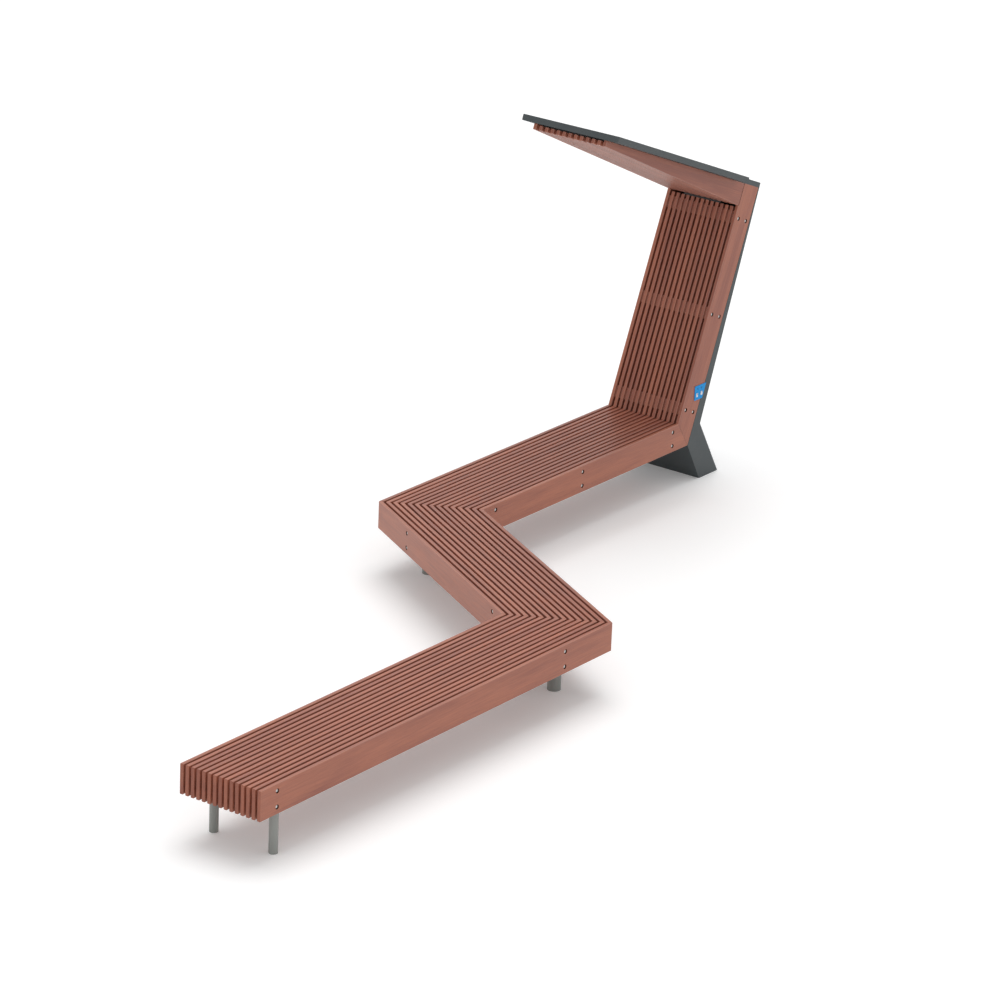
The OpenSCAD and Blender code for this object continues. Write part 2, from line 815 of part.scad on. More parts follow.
function roof_point(x, y, z) = let (p = roof_to_back(x, z), q = upright(p.x, p.y)) [q.x, y, q.y];
function back_point(n, y, m) = let (q = upright(n, m)) [q.x, y, q.y];
block_top_x = web_x + web_thick + block_x / 2;
block_top_z = unit_low + unit_z + block_z;
block_low_z = unit_low - block_z;
unit_side = web_side + (web_long - unit_y) / 2;
block_side = web_side + (web_long - block_y) / 2;
block_step = block_y / block_ways;
function way(i) = block_side + (i + 0.5) * block_step;
spine_mid = (board_depth + steel_wall + rear_n(cable_entry) - steel_wall) / 2;
panel_route = [roof_point(box_x, cable_y, tray_cable_z), roof_point(cable_drop_x, cable_y, tray_cable_z),
    back_point(cable_drop_n, cable_y, cable_entry + entry_run),
        back_point(cable_drop_n, cable_y, cable_entry),
    back_point(spine_mid, cable_y, cable_entry), back_point(board_depth + route_in, cable_y, entry_run),
    [block_top_x - bend_back, cable_y, bend_high], [block_top_x, way(panel_way_index), block_top_z + tail],
    [block_top_x, way(panel_way_index), block_top_z]];
module panel_cable() { color(black) at_foot() along(panel_route, panel_cable_r); }

port_cable_y = board_thick + board_gap / 2;
port_route = [[port_x + port_exit, module_deep - plate_thick, port_z],
    [port_x + port_exit, port_cable_y, port_z],
    back_point(board_depth - port_turn, port_cable_y, port_cable_m),
    back_point(board_depth + route_in, port_cable_y, port_cable_m),
        back_point(board_depth + route_in, port_cable_y, entry_run),
    [mitre_run + port_back, port_cable_y + port_side, port_low],
        [block_top_x, way(port_way_index), block_top_z + port_tail],
    [block_top_x, way(port_way_index), block_top_z]];
module port_cable() { color(black) at_foot() along(port_route, port_cable_r); }

battery_top = base_thick + battery_z;
terminal_x = battery_front + battery_x - terminal_inset;
terminal_ys = [battery_side + terminal_inset, battery_side + battery_y - terminal_inset];
lead_level = battery_top + terminal_high;
lead_end = web_side + web_long - lead_margin;
module battery_leads() {
    color(black) at_foot() {
        for (i = [0, 1]) {
            top = lead_level + lead_lift + i * lead_gap;
            side = lead_end + i * lead_gap;
            low = block_low_z - lead_drop - i * lead_gap;
            along([[terminal_x, terminal_ys[1 - i], lead_level], [terminal_x, terminal_ys[1 - i], top],
                [terminal_x, side, top], [block_top_x, side, top], [block_top_x, side, low],
                [block_top_x, way(lead_way_index * (2 - i)), low],
                    [block_top_x, way(lead_way_index * (2 - i)), block_low_z]], lead_r);
        }
    }
}
// rubber rings, each with a groove that clips on the steel
module grommet(bore) {
    rotate([0, 90, 0]) rotate_extrude()
        polygon([[bore, -grommet_lip], [grommet_flange, -grommet_lip], [grommet_flange, 0],
            [grommet_hole, 0],
            [grommet_hole, steel_wall], [grommet_flange, steel_wall],
                [grommet_flange, steel_wall + grommet_lip],
            [bore, steel_wall + grommet_lip]]);
}
module grommets() {
    color(black) at_back() {
        translate([board_depth, cable_y, cable_entry]) grommet(panel_cable_r + air / 3);
        translate([board_depth, port_cable_y, port_cable_m]) grommet(port_cable_r + air / 3);
    }
}

// equipment
module equipment_bracket() {
    color(bright_steel) at_foot() translate([web_x, web_side, base_thick]) {
        cube([web_thick, web_long, web_high]);
        cube([web_foot, web_long, web_thick]);
    }
}
module controller() {
    rib_step = unit_z / 5;
    color(case_blue) at_foot() translate([web_x + web_thick, unit_side, unit_low]) difference() {
        cube([unit_x, unit_y, unit_z]);
        for (i = [1 : 4]) translate([unit_x - web_thick, over, i * rib_step - web_thick / 2])
            cube([over, unit_y - 2 * over, web_thick]);
    }
}
module controller_terminals() {
    color(green) at_foot() for (low = [block_low_z, unit_low + unit_z]) difference() {
        translate([web_x + web_thick, block_side, low]) cube([block_x, block_y, block_z]);
        for (i = [0 : block_ways - 1]) if (i != lead_way_index && i != port_way_index && i != panel_way_index)
            translate([block_top_x, way(i),
                low == block_low_z ? low - over : low + block_z - block_hole_deep])
                cylinder(r = block_hole_r, h = block_hole_deep + over);
    }
}
module battery() {
    color(case_grey) at_foot() translate([battery_front, battery_side, base_thick]) {
        cube([battery_x, battery_y, battery_z - web_thick]);
        translate([web_thick, web_thick, battery_z - web_thick])
            cube([battery_x - 2 * web_thick, battery_y - 2 * web_thick, web_thick]);
    }
}
module battery_terminals() {
    color(brass) at_foot() for (y = terminal_ys)
        translate([terminal_x, y, battery_top]) cylinder(r = terminal_r, h = terminal_high);
}
module battery_strap() {
    high = battery_top + strap_thick;
    color(bright_steel) at_foot() translate([battery_front + web_thick + strap_thick, 0, 0])
        along_x(0, strap_width) polygon([
            [battery_side - strap_thick - strap_foot, base_thick], [battery_side, base_thick],
                [battery_side, battery_top],
            [battery_side + battery_y, battery_top], [battery_side + battery_y, base_thick],
            [battery_side + battery_y + strap_thick, base_thick],
                [battery_side + battery_y + strap_thick, high],
            [battery_side - strap_thick, high], [battery_side - strap_thick, base_thick + strap_thick],
            [battery_side - strap_thick - strap_foot, base_thick + strap_thick]]);
}

// charging plate: upright left edge, level top and bottom, right edge along the back
function edge_x(z, n) = tan(lean) * (z - seat_height + sin(lean) * n) + cos(lean) * n;
module port_pockets(from, to) {
    translate([port_x - port_wide / 2, from, port_z - port_high / 2])
        cube([port_wide, to - from, port_high]);
    translate([socket_x, 0, socket_z]) rod_y(socket_r, from, to);
}
module charge_plate() {
    top = plate_z + plate_height;
    color(blue) at_foot() difference() {
        along_y(-plate_thick, 0) polygon([[plate_x, plate_z], [edge_x(plate_z, plate_edge), plate_z],
            [edge_x(top, plate_edge), top], [plate_x, top]]);
        port_pockets(-plate_thick - over, over);
    }
}
module plate_screws() {
    color(dark_blue) at_foot() for (x = [screw_x, screw_x + screw_span])
        translate([x, 0, screw_z]) difference() {
            rod_y(screw_r, -plate_thick - screw_high, -plate_thick);
            translate([0, -plate_thick - screw_high - over, 0]) rotate([-90, 0, 0])
                cylinder(r = screw_r / 2, h = over + screw_high / 2, $fn = 6);
        }
}
cap_axis_y = -plate_thick - bezel_thick - air - cap_thick / 2 + air;
cap_axis_z = socket_z + cap_lift;
module port_bezels() {
    front = -plate_thick - bezel_thick;
    color(white) at_foot() {
        difference() {
            translate([port_x - port_wide / 2 - port_rim_wide, front,
                port_z - port_high / 2 - port_rim_wide])
                cube([port_wide + port_rim_wide + port_rim, bezel_thick,
                    port_high + port_rim_wide + port_rim]);
            translate([port_x - port_wide / 2, front - over, port_z - port_high / 2])
                cube([port_wide, bezel_thick + 2 * over, port_high]);
        }
        difference() {
            union() {
                translate([socket_x, 0, socket_z]) rod_y(socket_ring_r, front, -plate_thick);
                translate([socket_x - cap_knuckle / 2 - cap_ear - air, front, socket_z])
                    cube([cap_knuckle + 2 * cap_ear + 2 * air, bezel_thick, cap_lift + cap_barrel_r]);
                for (s = [-1, 1]) translate([socket_x + s * (cap_knuckle / 2 + air + cap_ear / 2),
                    cap_axis_y, cap_axis_z]) {
                    rod_x(cap_barrel_r, -cap_ear / 2, cap_ear / 2);
                    translate([-cap_ear / 2, 0, -cap_barrel_r])
                        cube([cap_ear, front - cap_axis_y + air, 2 * cap_barrel_r]);
                }
            }
            translate([socket_x, 0, socket_z]) rod_y(socket_r, front - over, over);
            translate([socket_x, cap_axis_y, cap_axis_z]) rod_x(cap_pin_r, -cap_knuckle, cap_knuckle);
            translate([socket_x - cap_knuckle / 2 - air, front - over, cap_axis_z - cap_barrel_r - air])
                cube([cap_knuckle + 2 * air, cap_axis_y + cap_barrel_r + air - front + over,
                    2 * cap_barrel_r + 2 * air]);
        }
    }
}
module port_module() {
    color(black) at_foot() difference() {
        union() {
            translate([port_x - port_wide / 2 + air, port_deep - plate_thick, port_z - port_high / 2 + air])
                cube([port_wide - 2 * air, module_deep - port_deep, port_high - 2 * air]);
            translate([socket_x, 0, socket_z])
                rod_y(socket_r - air, port_deep - plate_thick, module_deep - plate_thick);
            translate([port_x - port_wide / 2 + air, board_thick, port_z - port_high / 2 + air])
                cube([socket_x - port_x + port_wide / 2, module_deep - plate_thick - board_thick,
                    port_high - 2 * air]);
        }
        difference() {
            translate([port_x - slot_wide / 2, 0, port_z - slot_high / 2])
                cube([slot_wide, slot_high, slot_high]);
            translate([port_x, 0, port_z - slot_high / 2 + tongue_thick])
                cube([tongue_thick, slot_high, slot_high - 2 * tongue_thick]);
        }
    }
}
module port_cap() {
    back_y = -plate_thick - bezel_thick - air;
    color(white) at_foot() difference() {
        union() {
            translate([socket_x, 0, socket_z]) rod_y(cap_r, back_y - cap_thick, back_y);
            translate([socket_x - cap_knuckle / 2, back_y - cap_thick, socket_z])
                cube([cap_knuckle, cap_thick, cap_lift]);
            translate([socket_x, cap_axis_y, cap_axis_z])
                rod_x(cap_barrel_r, -cap_knuckle / 2, cap_knuckle / 2);
        }
        translate([socket_x, cap_axis_y, cap_axis_z])
            rod_x(cap_pin_r + pin_play, -cap_knuckle, cap_knuckle);
    }
}
module cap_pin() {
    color(bright_steel) at_foot() translate([socket_x, cap_axis_y, cap_axis_z])
        rod_x(cap_pin_r, -cap_knuckle / 2 - air - cap_ear, cap_knuckle / 2 + air + cap_ear);
}

// service door, flush in the rear slope of the foot and hinged at its near side
hinge_y = door_side - door_gap / 2;
hinge_places = [door_low + hinge_inset, door_low + door_height - hinge_inset];
lock_y = door_side + door_width - lock_edge;
lock_places = [door_low + lock_inset, door_low + door_height - lock_inset];
module service_door() {
    color(dark_steel) at_slope() difference() {
        union() {
            translate([-door_thick, door_side, door_low]) cube([door_thick, door_width, door_height]);
            for (z = hinge_places) {
                translate([hinge_lift, hinge_y, z - knuckle_long / 2])
                    cylinder(r = knuckle_r, h = knuckle_long);
                translate([0, door_side, z - knuckle_long / 2])
                    cube([hinge_lift, hinge_leaf, knuckle_long]);
                translate([hinge_lift - knuckle_r / 2, hinge_y, z - knuckle_long / 2])
                    cube([knuckle_r / 2, hinge_leaf, knuckle_long]);
            }
        }
        for (z = hinge_places) translate([hinge_lift, hinge_y, z - knuckle_long])
            cylinder(r = hinge_pin_r + hinge_play, h = 2 * knuckle_long);
        for (z = lock_places) translate([0, lock_y, z]) rod_x(lock_hole_r, -door_thick - over, over);
    }
}
module hinge_pins() {
    lug = knuckle_long / 2;
    reach = knuckle_long / 2 + air + lug;
    color(bright_steel) at_slope() for (z = hinge_places) {
        translate([hinge_lift, hinge_y, z - reach]) cylinder(r = hinge_pin_r, h = 2 * reach);
        for (low = [z - reach, z + reach - lug]) {
            translate([hinge_lift, hinge_y, low]) cylinder(r = knuckle_r, h = lug);
            translate([0, hinge_y - door_gap / 2 - hinge_leaf, low])
                cube([hinge_lift + knuckle_r / 2, hinge_leaf - door_gap, lug]);
            translate([hinge_lift - knuckle_r / 2, hinge_y - hinge_leaf, low])
                cube([knuckle_r, hinge_leaf, lug]);
        }
    }
}
module door_ring(from, thick, outward, inward) {
    translate([from - thick, door_side - outward, door_low - outward])
        difference() {
            cube([thick, door_width + 2 * outward, door_height + 2 * outward]);
            translate([-over, outward + inward, outward + inward])
                cube([thick + 2 * over, door_width - 2 * inward, door_height - 2 * inward]);
        }
}
module door_seal() { color(black) at_slope() door_ring(-door_thick - air, seal_thick, 0, seal_width); }
module door_frame() {
    color(dark_steel) at_slope() {
        door_ring(-door_thick - air - seal_thick, frame_thick, frame_over + door_gap, frame_in);
        difference() {
            door_ring(-steel_wall, seal_thick + air, frame_over + door_gap, 0);
            translate([-steel_wall - seal_thick - over, door_side - door_gap, door_low - door_gap])
                cube([seal_thick + 2 * over, door_width + 2 * door_gap, door_height + 2 * door_gap]);
        }
    }
}
module lock(z) {
    cam_back = -door_thick - 2 * air - seal_thick - frame_thick;
    color(bright_steel) at_slope() translate([0, lock_y, z]) difference() {
        union() {
            rod_x(lock_head_r, air, lock_head_thick);
            rod_x(lock_barrel_r, cam_back - cam_thick, lock_head_thick);
            translate([cam_back - cam_thick, -cam_wide / 2, -cam_wide / 2])
                cube([cam_thick, cam_wide, cam_reach + cam_wide / 2]);
        }
        translate([lock_head_thick - lock_key_deep, 0, 0]) rotate([0, 90, 0])
            cylinder(r = lock_key_r, h = lock_key_deep + over, $fn = 3);
    }
}
module lock_upper() { lock(lock_places[1]); }
module lock_lower() { lock(lock_places[0]); }

board_a_near();
board_a_far();
slats_a();
board_b_left();
board_b_right();
slats_b();
board_c_near();
board_c_far();
slats_c();
seat_spacers();
back_board_near();
back_board_far();
back_slats();
back_spacers();
roof_board_near();
roof_board_far();
roof_slats();
through_bolts();
bolt_washers();
bolt_nuts();
end_legs();
end_bearer();
corner_posts();
corner_bearers();
seat_bracket();
spine();
base_plate();
roof_arm();
roof_ribs();
roof_straps();
roof_tray();
tray_bolts();
panel_frame();
panel_glass();
panel_cells();
panel_backsheet();
junction_box();
panel_cable();
grommets();
equipment_bracket();
controller();
controller_terminals();
battery();
battery_terminals();
battery_strap();
battery_leads();
port_cable();
charge_plate();
plate_screws();
port_bezels();
port_module();
port_cap();
cap_pin();
service_door();
door_frame();
door_seal();
hinge_pins();
lock_upper();
lock_lower();
lamp_bar();
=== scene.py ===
import json
import math
import random
import bmesh
import bpy
from mathutils import Matrix, Vector


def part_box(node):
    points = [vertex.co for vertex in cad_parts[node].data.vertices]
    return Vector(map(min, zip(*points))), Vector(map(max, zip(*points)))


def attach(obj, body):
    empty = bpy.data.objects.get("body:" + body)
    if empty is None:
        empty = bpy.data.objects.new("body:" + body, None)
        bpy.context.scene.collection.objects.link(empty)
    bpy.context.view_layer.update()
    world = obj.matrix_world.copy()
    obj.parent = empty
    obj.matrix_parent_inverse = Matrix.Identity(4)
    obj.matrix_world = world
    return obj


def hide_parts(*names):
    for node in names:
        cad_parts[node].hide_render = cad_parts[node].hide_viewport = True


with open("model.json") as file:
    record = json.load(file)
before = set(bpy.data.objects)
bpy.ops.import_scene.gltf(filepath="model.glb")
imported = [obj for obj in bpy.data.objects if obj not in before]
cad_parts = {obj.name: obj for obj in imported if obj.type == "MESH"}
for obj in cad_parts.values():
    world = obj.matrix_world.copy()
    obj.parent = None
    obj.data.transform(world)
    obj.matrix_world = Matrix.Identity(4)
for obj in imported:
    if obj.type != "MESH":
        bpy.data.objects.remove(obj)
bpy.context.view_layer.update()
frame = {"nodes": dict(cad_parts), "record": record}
print("frame loaded", len(frame["nodes"]), "nodes")

# the bench's own measures in metres and degrees
bench = {"seat": 0.450, "pitch": 0.0385, "lengthA": 3.200, "lengthC": 2.105, "turn": 60,
         "footX": 6.2725, "footY": 1.67576, "lean": 22.5, "backHeight": 1.620,
         "roofDrop": 1, "roofJoint": 1.470, "roofPitch": 0.0449167}
# where the bolts stand along each arm and up the back, and how deep below the seat's top
bolts = {"a": (0.140, 2.74153), "b": (0.464471, 1.795), "c": (0.134, 1.0525, 2.049),
         "back": (0.100, 0.745, 1.390), "depths": (0.043, 0.137)}
# the free end's near corner is the zero that part.scad measures the bench from
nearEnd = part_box("board_a_near")[0]


def turned(degrees, axis):
    return Matrix.Rotation(math.radians(degrees), 4, axis)


armPlace = Matrix.Translation((nearEnd.x, nearEnd.y, 0))
middlePlace = armPlace @ Matrix.Translation((bench["lengthA"], 0, 0)) @ turned(bench["turn"], "Z")
footPlace = armPlace @ Matrix.Translation((bench["footX"], bench["footY"], 0))
endPlace = footPlace @ Matrix.Translation((-bench["lengthC"], 0, 0))
backPlace = footPlace @ Matrix.Translation((0, 0, bench["seat"])) @ turned(bench["lean"], "Y")
roofPlace = backPlace @ Matrix.Translation((0, 0, bench["backHeight"])) @ turned(-bench["roofDrop"], "Y")


def makeCamera():
    # the camera that was fitted to the photograph
    seen = {"place": (-21.32434, -15.62468, 10.7763), "yaw": 0.9397, "pitch": 0.3594, "roll": 0.0399,
            "focal": 4728.4, "picture": 992, "sensor": 36, "nearest": 0.5, "farthest": 300}
    forward = Vector((math.sin(seen["yaw"]) * math.cos(seen["pitch"]),
                      math.cos(seen["yaw"]) * math.cos(seen["pitch"]), -math.sin(seen["pitch"])))
    flatRight = Vector((math.cos(seen["yaw"]), -math.sin(seen["yaw"]), 0))
    flatUp = flatRight.cross(forward)
    right = math.cos(seen["roll"]) * flatRight + math.sin(seen["roll"]) * flatUp
    up = -math.sin(seen["roll"]) * flatRight + math.cos(seen["roll"]) * flatUp
    data = bpy.data.cameras.new("photoCamera")
    data.sensor_width = seen["sensor"]
    data.lens = seen["focal"] / seen["picture"] * seen["sensor"]
    data.clip_start, data.clip_end = seen["nearest"], seen["farthest"]
    camera = bpy.data.objects.new("photoCamera", data)
    bpy.context.scene.collection.objects.link(camera)
    camera.matrix_world = Matrix.Translation(seen["place"]) @ Matrix((right, up, -forward)).transposed().to_4x4()
    bpy.context.scene.camera = camera


def node(tree, kind, **values):
    made = tree.nodes.new(kind)
    for name, value in values.items():
        if name in made.inputs:
            made.inputs[name].default_value = value
        else:
            setattr(made, name, value)
    return made


def feed(tree, value, socket):
    # another node's output is linked, a plain value is set
    if isinstance(value, bpy.types.NodeSocket):
        tree.links.new(value, socket)
    else:
        socket.default_value = value


def maths(tree, operation, *values):
    made = node(tree, "ShaderNodeMath", operation=operation)
    for value, socket in zip(values, made.inputs):
        feed(tree, value, socket)
    return made.outputs[0]


def mixed(tree, share, first, second, blend="MIX"):
    # the colour sockets of a Mix node are its inputs 6 and 7 and its output 2
    made = node(tree, "ShaderNodeMix", data_type="RGBA", blend_type=blend)
    for value, index in ((share, 0), (first, 6), (second, 7)):
        feed(tree, value, made.inputs[index])
    return made.outputs[2]


def ranged(tree, value, source=(0, 1), result=(0, 1)):
    # a value taken from one span to another
    made = node(tree, "ShaderNodeMapRange")
    for label, limit in zip(("From Min", "From Max", "To Min", "To Max"), (*source, *result)):
        made.inputs[label].default_value = limit
    feed(tree, value, made.inputs["Value"])
    return made.outputs["Result"]


def ramped(tree, value, stops):
    made = node(tree, "ShaderNodeValToRGB")
    for element, (at, colour) in zip(made.color_ramp.elements, stops):
        element.position = at
        element.color = (*colour, 1)
    feed(tree, value, made.inputs["Fac"])
    return made.outputs["Color"]


def stretched(tree, vector, scale):
    made = node(tree, "ShaderNodeMapping", Scale=scale)
    feed(tree, vector, made.inputs["Vector"])
    return made.outputs["Vector"]


def blank(name, **values):
    made = bpy.data.materials.new(name)
    made.use_nodes = True
    shade = made.node_tree.nodes["Principled BSDF"]
    for key, value in values.items():
        shade.inputs[key.replace("_", " ")].default_value = value
    return made, made.node_tree, shade


def bumped(tree, shade, height, strength, relief):
    bump = node(tree, "ShaderNodeBump", Strength=strength, Distance=relief)
    feed(tree, height, bump.inputs["Height"])
    feed(tree, bump.outputs["Normal"], shade.inputs["Normal"])


def seenDirectly(tree):
    # one for what the camera, a mirror or glass sees, zero for the light on the object
    path = node(tree, "ShaderNodeLightPath").outputs
    direct = maths(tree, "MAXIMUM", path["Is Camera Ray"], path["Is Glossy Ray"])
    return maths(tree, "MAXIMUM", direct, path["Is Transmission Ray"])


def makeStage():
    # a white studio: the world, a wide floor that shows a little whiter than it is lit, and one soft key
    stage = {"floorSize": 120, "floorColour": 0.97, "floorRoughness": 0.9, "whiter": 0.11, "worldLight": 0.66,
             "keyHeight": 6, "keyPower": 1.25, "keyAngle": 45, "keyTilt": (-9, 17)}
    world = bpy.data.worlds.new("studio")
    bpy.context.scene.world = world
    world.use_nodes = True
    tree = world.node_tree
    background = tree.nodes["Background"]
    background.inputs["Color"].default_value = (1, 1, 1, 1)
    feed(tree, ranged(tree, seenDirectly(tree), result=(stage["worldLight"], 1)), background.inputs["Strength"])

    bpy.ops.mesh.primitive_plane_add(size=stage["floorSize"], location=(0, 0, 0))
    floor = bpy.context.object
    floor.name = "studioFloor"
    paint, tree, shade = blank("floorWhite", Base_Color=(*[stage["floorColour"]] * 3, 1),
                               Roughness=stage["floorRoughness"], Specular_IOR_Level=0)
    glow = node(tree, "ShaderNodeEmission", Color=(1, 1, 1, 1))
    feed(tree, maths(tree, "MULTIPLY", seenDirectly(tree), stage["whiter"]), glow.inputs["Strength"])
    both = node(tree, "ShaderNodeAddShader")
    feed(tree, shade.outputs["BSDF"], both.inputs[0])
    feed(tree, glow.outputs["Emission"], both.inputs[1])
    feed(tree, both.outputs["Shader"], tree.nodes["Material Output"].inputs["Surface"])
    floor.data.materials.append(paint)

    bpy.ops.object.light_add(type="SUN", location=(0, 0, stage["keyHeight"]))
    key = bpy.context.object
    key.name = "keyLight"
    key.data.energy = stage["keyPower"]
    key.data.angle = math.radians(stage["keyAngle"])
    key.rotation_euler = [math.radians(a) for a in stage["keyTilt"]] + [0]


makeCamera()
makeStage()
bpy.context.scene.view_settings.view_transform = "Standard"
print("camera and studio ready")


def newGroup(name, inputs, outputs):
    group = bpy.data.node_groups.new(name, "ShaderNodeTree")
    for label, kind, value in inputs:
        made = group.interface.new_socket(label, in_out="INPUT", socket_type=kind)
        if value is not None:
            made.default_value = value
    for label, kind in outputs:
        group.interface.new_socket(label, in_out="OUTPUT", socket_type=kind)
    return group, node(group, "NodeGroupInput").outputs, node(group, "NodeGroupOutput").inputs


def makeGrainGroup():
    # fine straight grain along the board, with painted shade in bores and joints and painted highlights on the edges
    # the bore and joint tint is painted shade, the screened edge tint a painted highlight
    grain = {"patch": (0.9, 26, 9), "fibre": (5, 170, 170), "pore": (28, 900, 900), "poreEdge": (0.10, 0.26),
             "fibreShare": 0.80, "tones": (0.66, 1.14), "poreDepth": 0.22, "roughness": (0.28, 0.44),
             "endTint": (0.86, 0.82, 0.80, 1), "shadeTint": (0.22, 0.19, 0.18, 1), "highlightTint": (0.125, 0.094, 0.085, 1)}
    group, start, end = newGroup("boardGrain",
        [("Grain", "NodeSocketVector", None), ("Light", "NodeSocketColor", (0.4, 0.2, 0.15, 1)),
         ("Dark", "NodeSocketColor", (0.2, 0.1, 0.07, 1)), ("Tone", "NodeSocketFloat", 0),
         ("End", "NodeSocketFloat", 0), ("Dirt", "NodeSocketFloat", 0), ("Arris", "NodeSocketFloat", 0)],
        [("Color", "NodeSocketColor"), ("Height", "NodeSocketFloat"), ("Roughness", "NodeSocketFloat")])
    patch = node(group, "ShaderNodeTexNoise", Scale=1.0, Detail=4, Roughness=0.55, Distortion=0.35)
    fibre = node(group, "ShaderNodeTexNoise", Scale=1.0, Detail=5, Roughness=0.62)
    pore = node(group, "ShaderNodeTexVoronoi", Scale=1.0, feature="F1")
    for texture, key in ((patch, "patch"), (fibre, "fibre"), (pore, "pore")):
        feed(group, stretched(group, start["Grain"], grain[key]), texture.inputs["Vector"])
    poreMask = ranged(group, pore.outputs["Distance"], grain["poreEdge"])
    figure = maths(group, "MULTIPLY_ADD", fibre.outputs["Fac"], grain["fibreShare"], patch.outputs["Fac"])
    toned = ranged(group, maths(group, "ADD", figure, start["Tone"]), grain["tones"])
    colour = mixed(group, toned, start["Dark"], start["Light"])
    colour = mixed(group, grain["poreDepth"], colour, poreMask, "MULTIPLY")
    colour = mixed(group, start["End"], colour, grain["endTint"], "MULTIPLY")
    # painted shade: bore walls and joint grooves darkened as if in shadow
    colour = mixed(group, start["Dirt"], colour, grain["shadeTint"], "MULTIPLY")
    # painted highlight: edge bevels screened paler as if catching light
    colour = mixed(group, start["Arris"], colour, grain["highlightTint"], "SCREEN")
    feed(group, colour, end["Color"])
    feed(group, maths(group, "MULTIPLY", fibre.outputs["Fac"], poreMask), end["Height"])
    feed(group, ranged(group, fibre.outputs["Fac"], result=grain["roughness"]), end["Roughness"])
    return group


def makeCoatGroup():
    # powder coat: a fine orange peel, faint clouding and a little dust
    coat = {"peel": 900, "cloud": 5, "dustEdge": (0.45, 0.75), "dustTint": (0.42, 0.40, 0.37, 1), "clouding": 0.16}
    group, start, end = newGroup("powderCoat",
        [("Where", "NodeSocketVector", None), ("Base", "NodeSocketColor", (0.1, 0.1, 0.1, 1)),
         ("Dust", "NodeSocketFloat", 0.06), ("Smooth", "NodeSocketFloat", 0.42)],
        [("Color", "NodeSocketColor"), ("Height", "NodeSocketFloat"), ("Roughness", "NodeSocketFloat")])
    peel = node(group, "ShaderNodeTexNoise", Scale=coat["peel"], Detail=2, Roughness=0.5)
    cloud = node(group, "ShaderNodeTexNoise", Scale=coat["cloud"], Detail=5, Roughness=0.6)
    for texture in (peel, cloud):
        feed(group, start["Where"], texture.inputs["Vector"])
    dusty = maths(group, "MULTIPLY", ranged(group, cloud.outputs["Fac"], coat["dustEdge"]), start["Dust"])
    matt = maths(group, "MULTIPLY_ADD", cloud.outputs["Fac"], coat["clouding"], start["Smooth"])
    feed(group, mixed(group, dusty, start["Base"], coat["dustTint"]), end["Color"])
    feed(group, peel.outputs["Fac"], end["Height"])
    feed(group, matt, end["Roughness"])
    return group


grainGroup = makeGrainGroup()
coatGroup = makeCoatGroup()


def placed(tree, shade, source, values):
    # a group in a material, with its own values, that drives colour and roughness
    group = node(tree, "ShaderNodeGroup", node_tree=source)
    for label, value in values.items():
        feed(tree, value, group.inputs[label])
    feed(tree, group.outputs["Color"], shade.inputs["Base Color"])
    feed(tree, group.outputs["Roughness"], shade.inputs["Roughness"])
    return group.outputs["Height"]


def makeTimber(name, light, dark):
    made, tree, shade = blank(name, Specular_IOR_Level=0.34, Sheen_Weight=0.06, Sheen_Roughness=0.4)
    values = {"Light": (*light, 1), "Dark": (*dark, 1)}
    # the painted shade and painted highlight marks are read along with the grain
    for attribute, socket, output in (("woodGrain", "Grain", "Vector"), ("boardTone", "Tone", "Fac"),
                                      ("endGrain", "End", "Fac"), ("dirt", "Dirt", "Fac"), ("arris", "Arris", "Fac")):
        values[socket] = node(tree, "ShaderNodeAttribute", attribute_name=attribute).outputs[output]
    bumped(tree, shade, placed(tree, shade, grainGroup, values), strength=0.35, relief=0.0004)
    return made


def makeCoat(name, base, dust=0.06, smooth=0.40, metallic=0.0, gloss=0.5):
    made, tree, shade = blank(name, Metallic=metallic, Specular_IOR_Level=gloss)
    where = node(tree, "ShaderNodeTexCoord").outputs["Object"]
    values = {"Where": where, "Base": (*base, 1), "Dust": dust, "Smooth": smooth}
    bumped(tree, shade, placed(tree, shade, coatGroup, values), strength=0.25, relief=0.0003)
    return made


def makeBright(name, base, roughness):
    # brushed stainless, its fine lines along one axis
    brush = {"lines": (60, 2200, 2200), "stops": (0.25, 0.8), "darker": 0.82, "spread": (-0.08, 0.10)}
    made, tree, shade = blank(name, Metallic=1.0)
    lines = node(tree, "ShaderNodeTexNoise", Scale=1.0, Detail=2)
    where = node(tree, "ShaderNodeTexCoord").outputs["Object"]
    feed(tree, stretched(tree, where, brush["lines"]), lines.inputs["Vector"])
    tones = zip(brush["stops"], ([c * brush["darker"] for c in base], base))
    feed(tree, ramped(tree, lines.outputs["Fac"], tones), shade.inputs["Base Color"])
    matt = ranged(tree, lines.outputs["Fac"], result=[roughness + more for more in brush["spread"]])
    feed(tree, matt, shade.inputs["Roughness"])
    bumped(tree, shade, lines.outputs["Fac"], strength=0.12, relief=0.0002)
    return made


def makePlastic(name, base, roughness, grain=1400, strength=0.12):
    # moulded plastic or rubber with a fine spark-eroded skin
    mould = {"cloud": 14, "stops": (0.3, 0.7), "darker": 0.88, "spread": (-0.05, 0.10)}
    made, tree, shade = blank(name)
    skin = node(tree, "ShaderNodeTexNoise", Scale=grain, Detail=2)
    cloud = node(tree, "ShaderNodeTexNoise", Scale=mould["cloud"], Detail=3)
    where = node(tree, "ShaderNodeTexCoord").outputs["Object"]
    for texture in (skin, cloud):
        feed(tree, where, texture.inputs["Vector"])
    tones = zip(mould["stops"], ([c * mould["darker"] for c in base], base))
    feed(tree, ramped(tree, cloud.outputs["Fac"], tones), shade.inputs["Base Color"])
    matt = ranged(tree, skin.outputs["Fac"], result=[roughness + more for more in mould["spread"]])
    feed(tree, matt, shade.inputs["Roughness"])
    bumped(tree, shade, skin.outputs["Fac"], strength=strength, relief=0.0002)
    return made


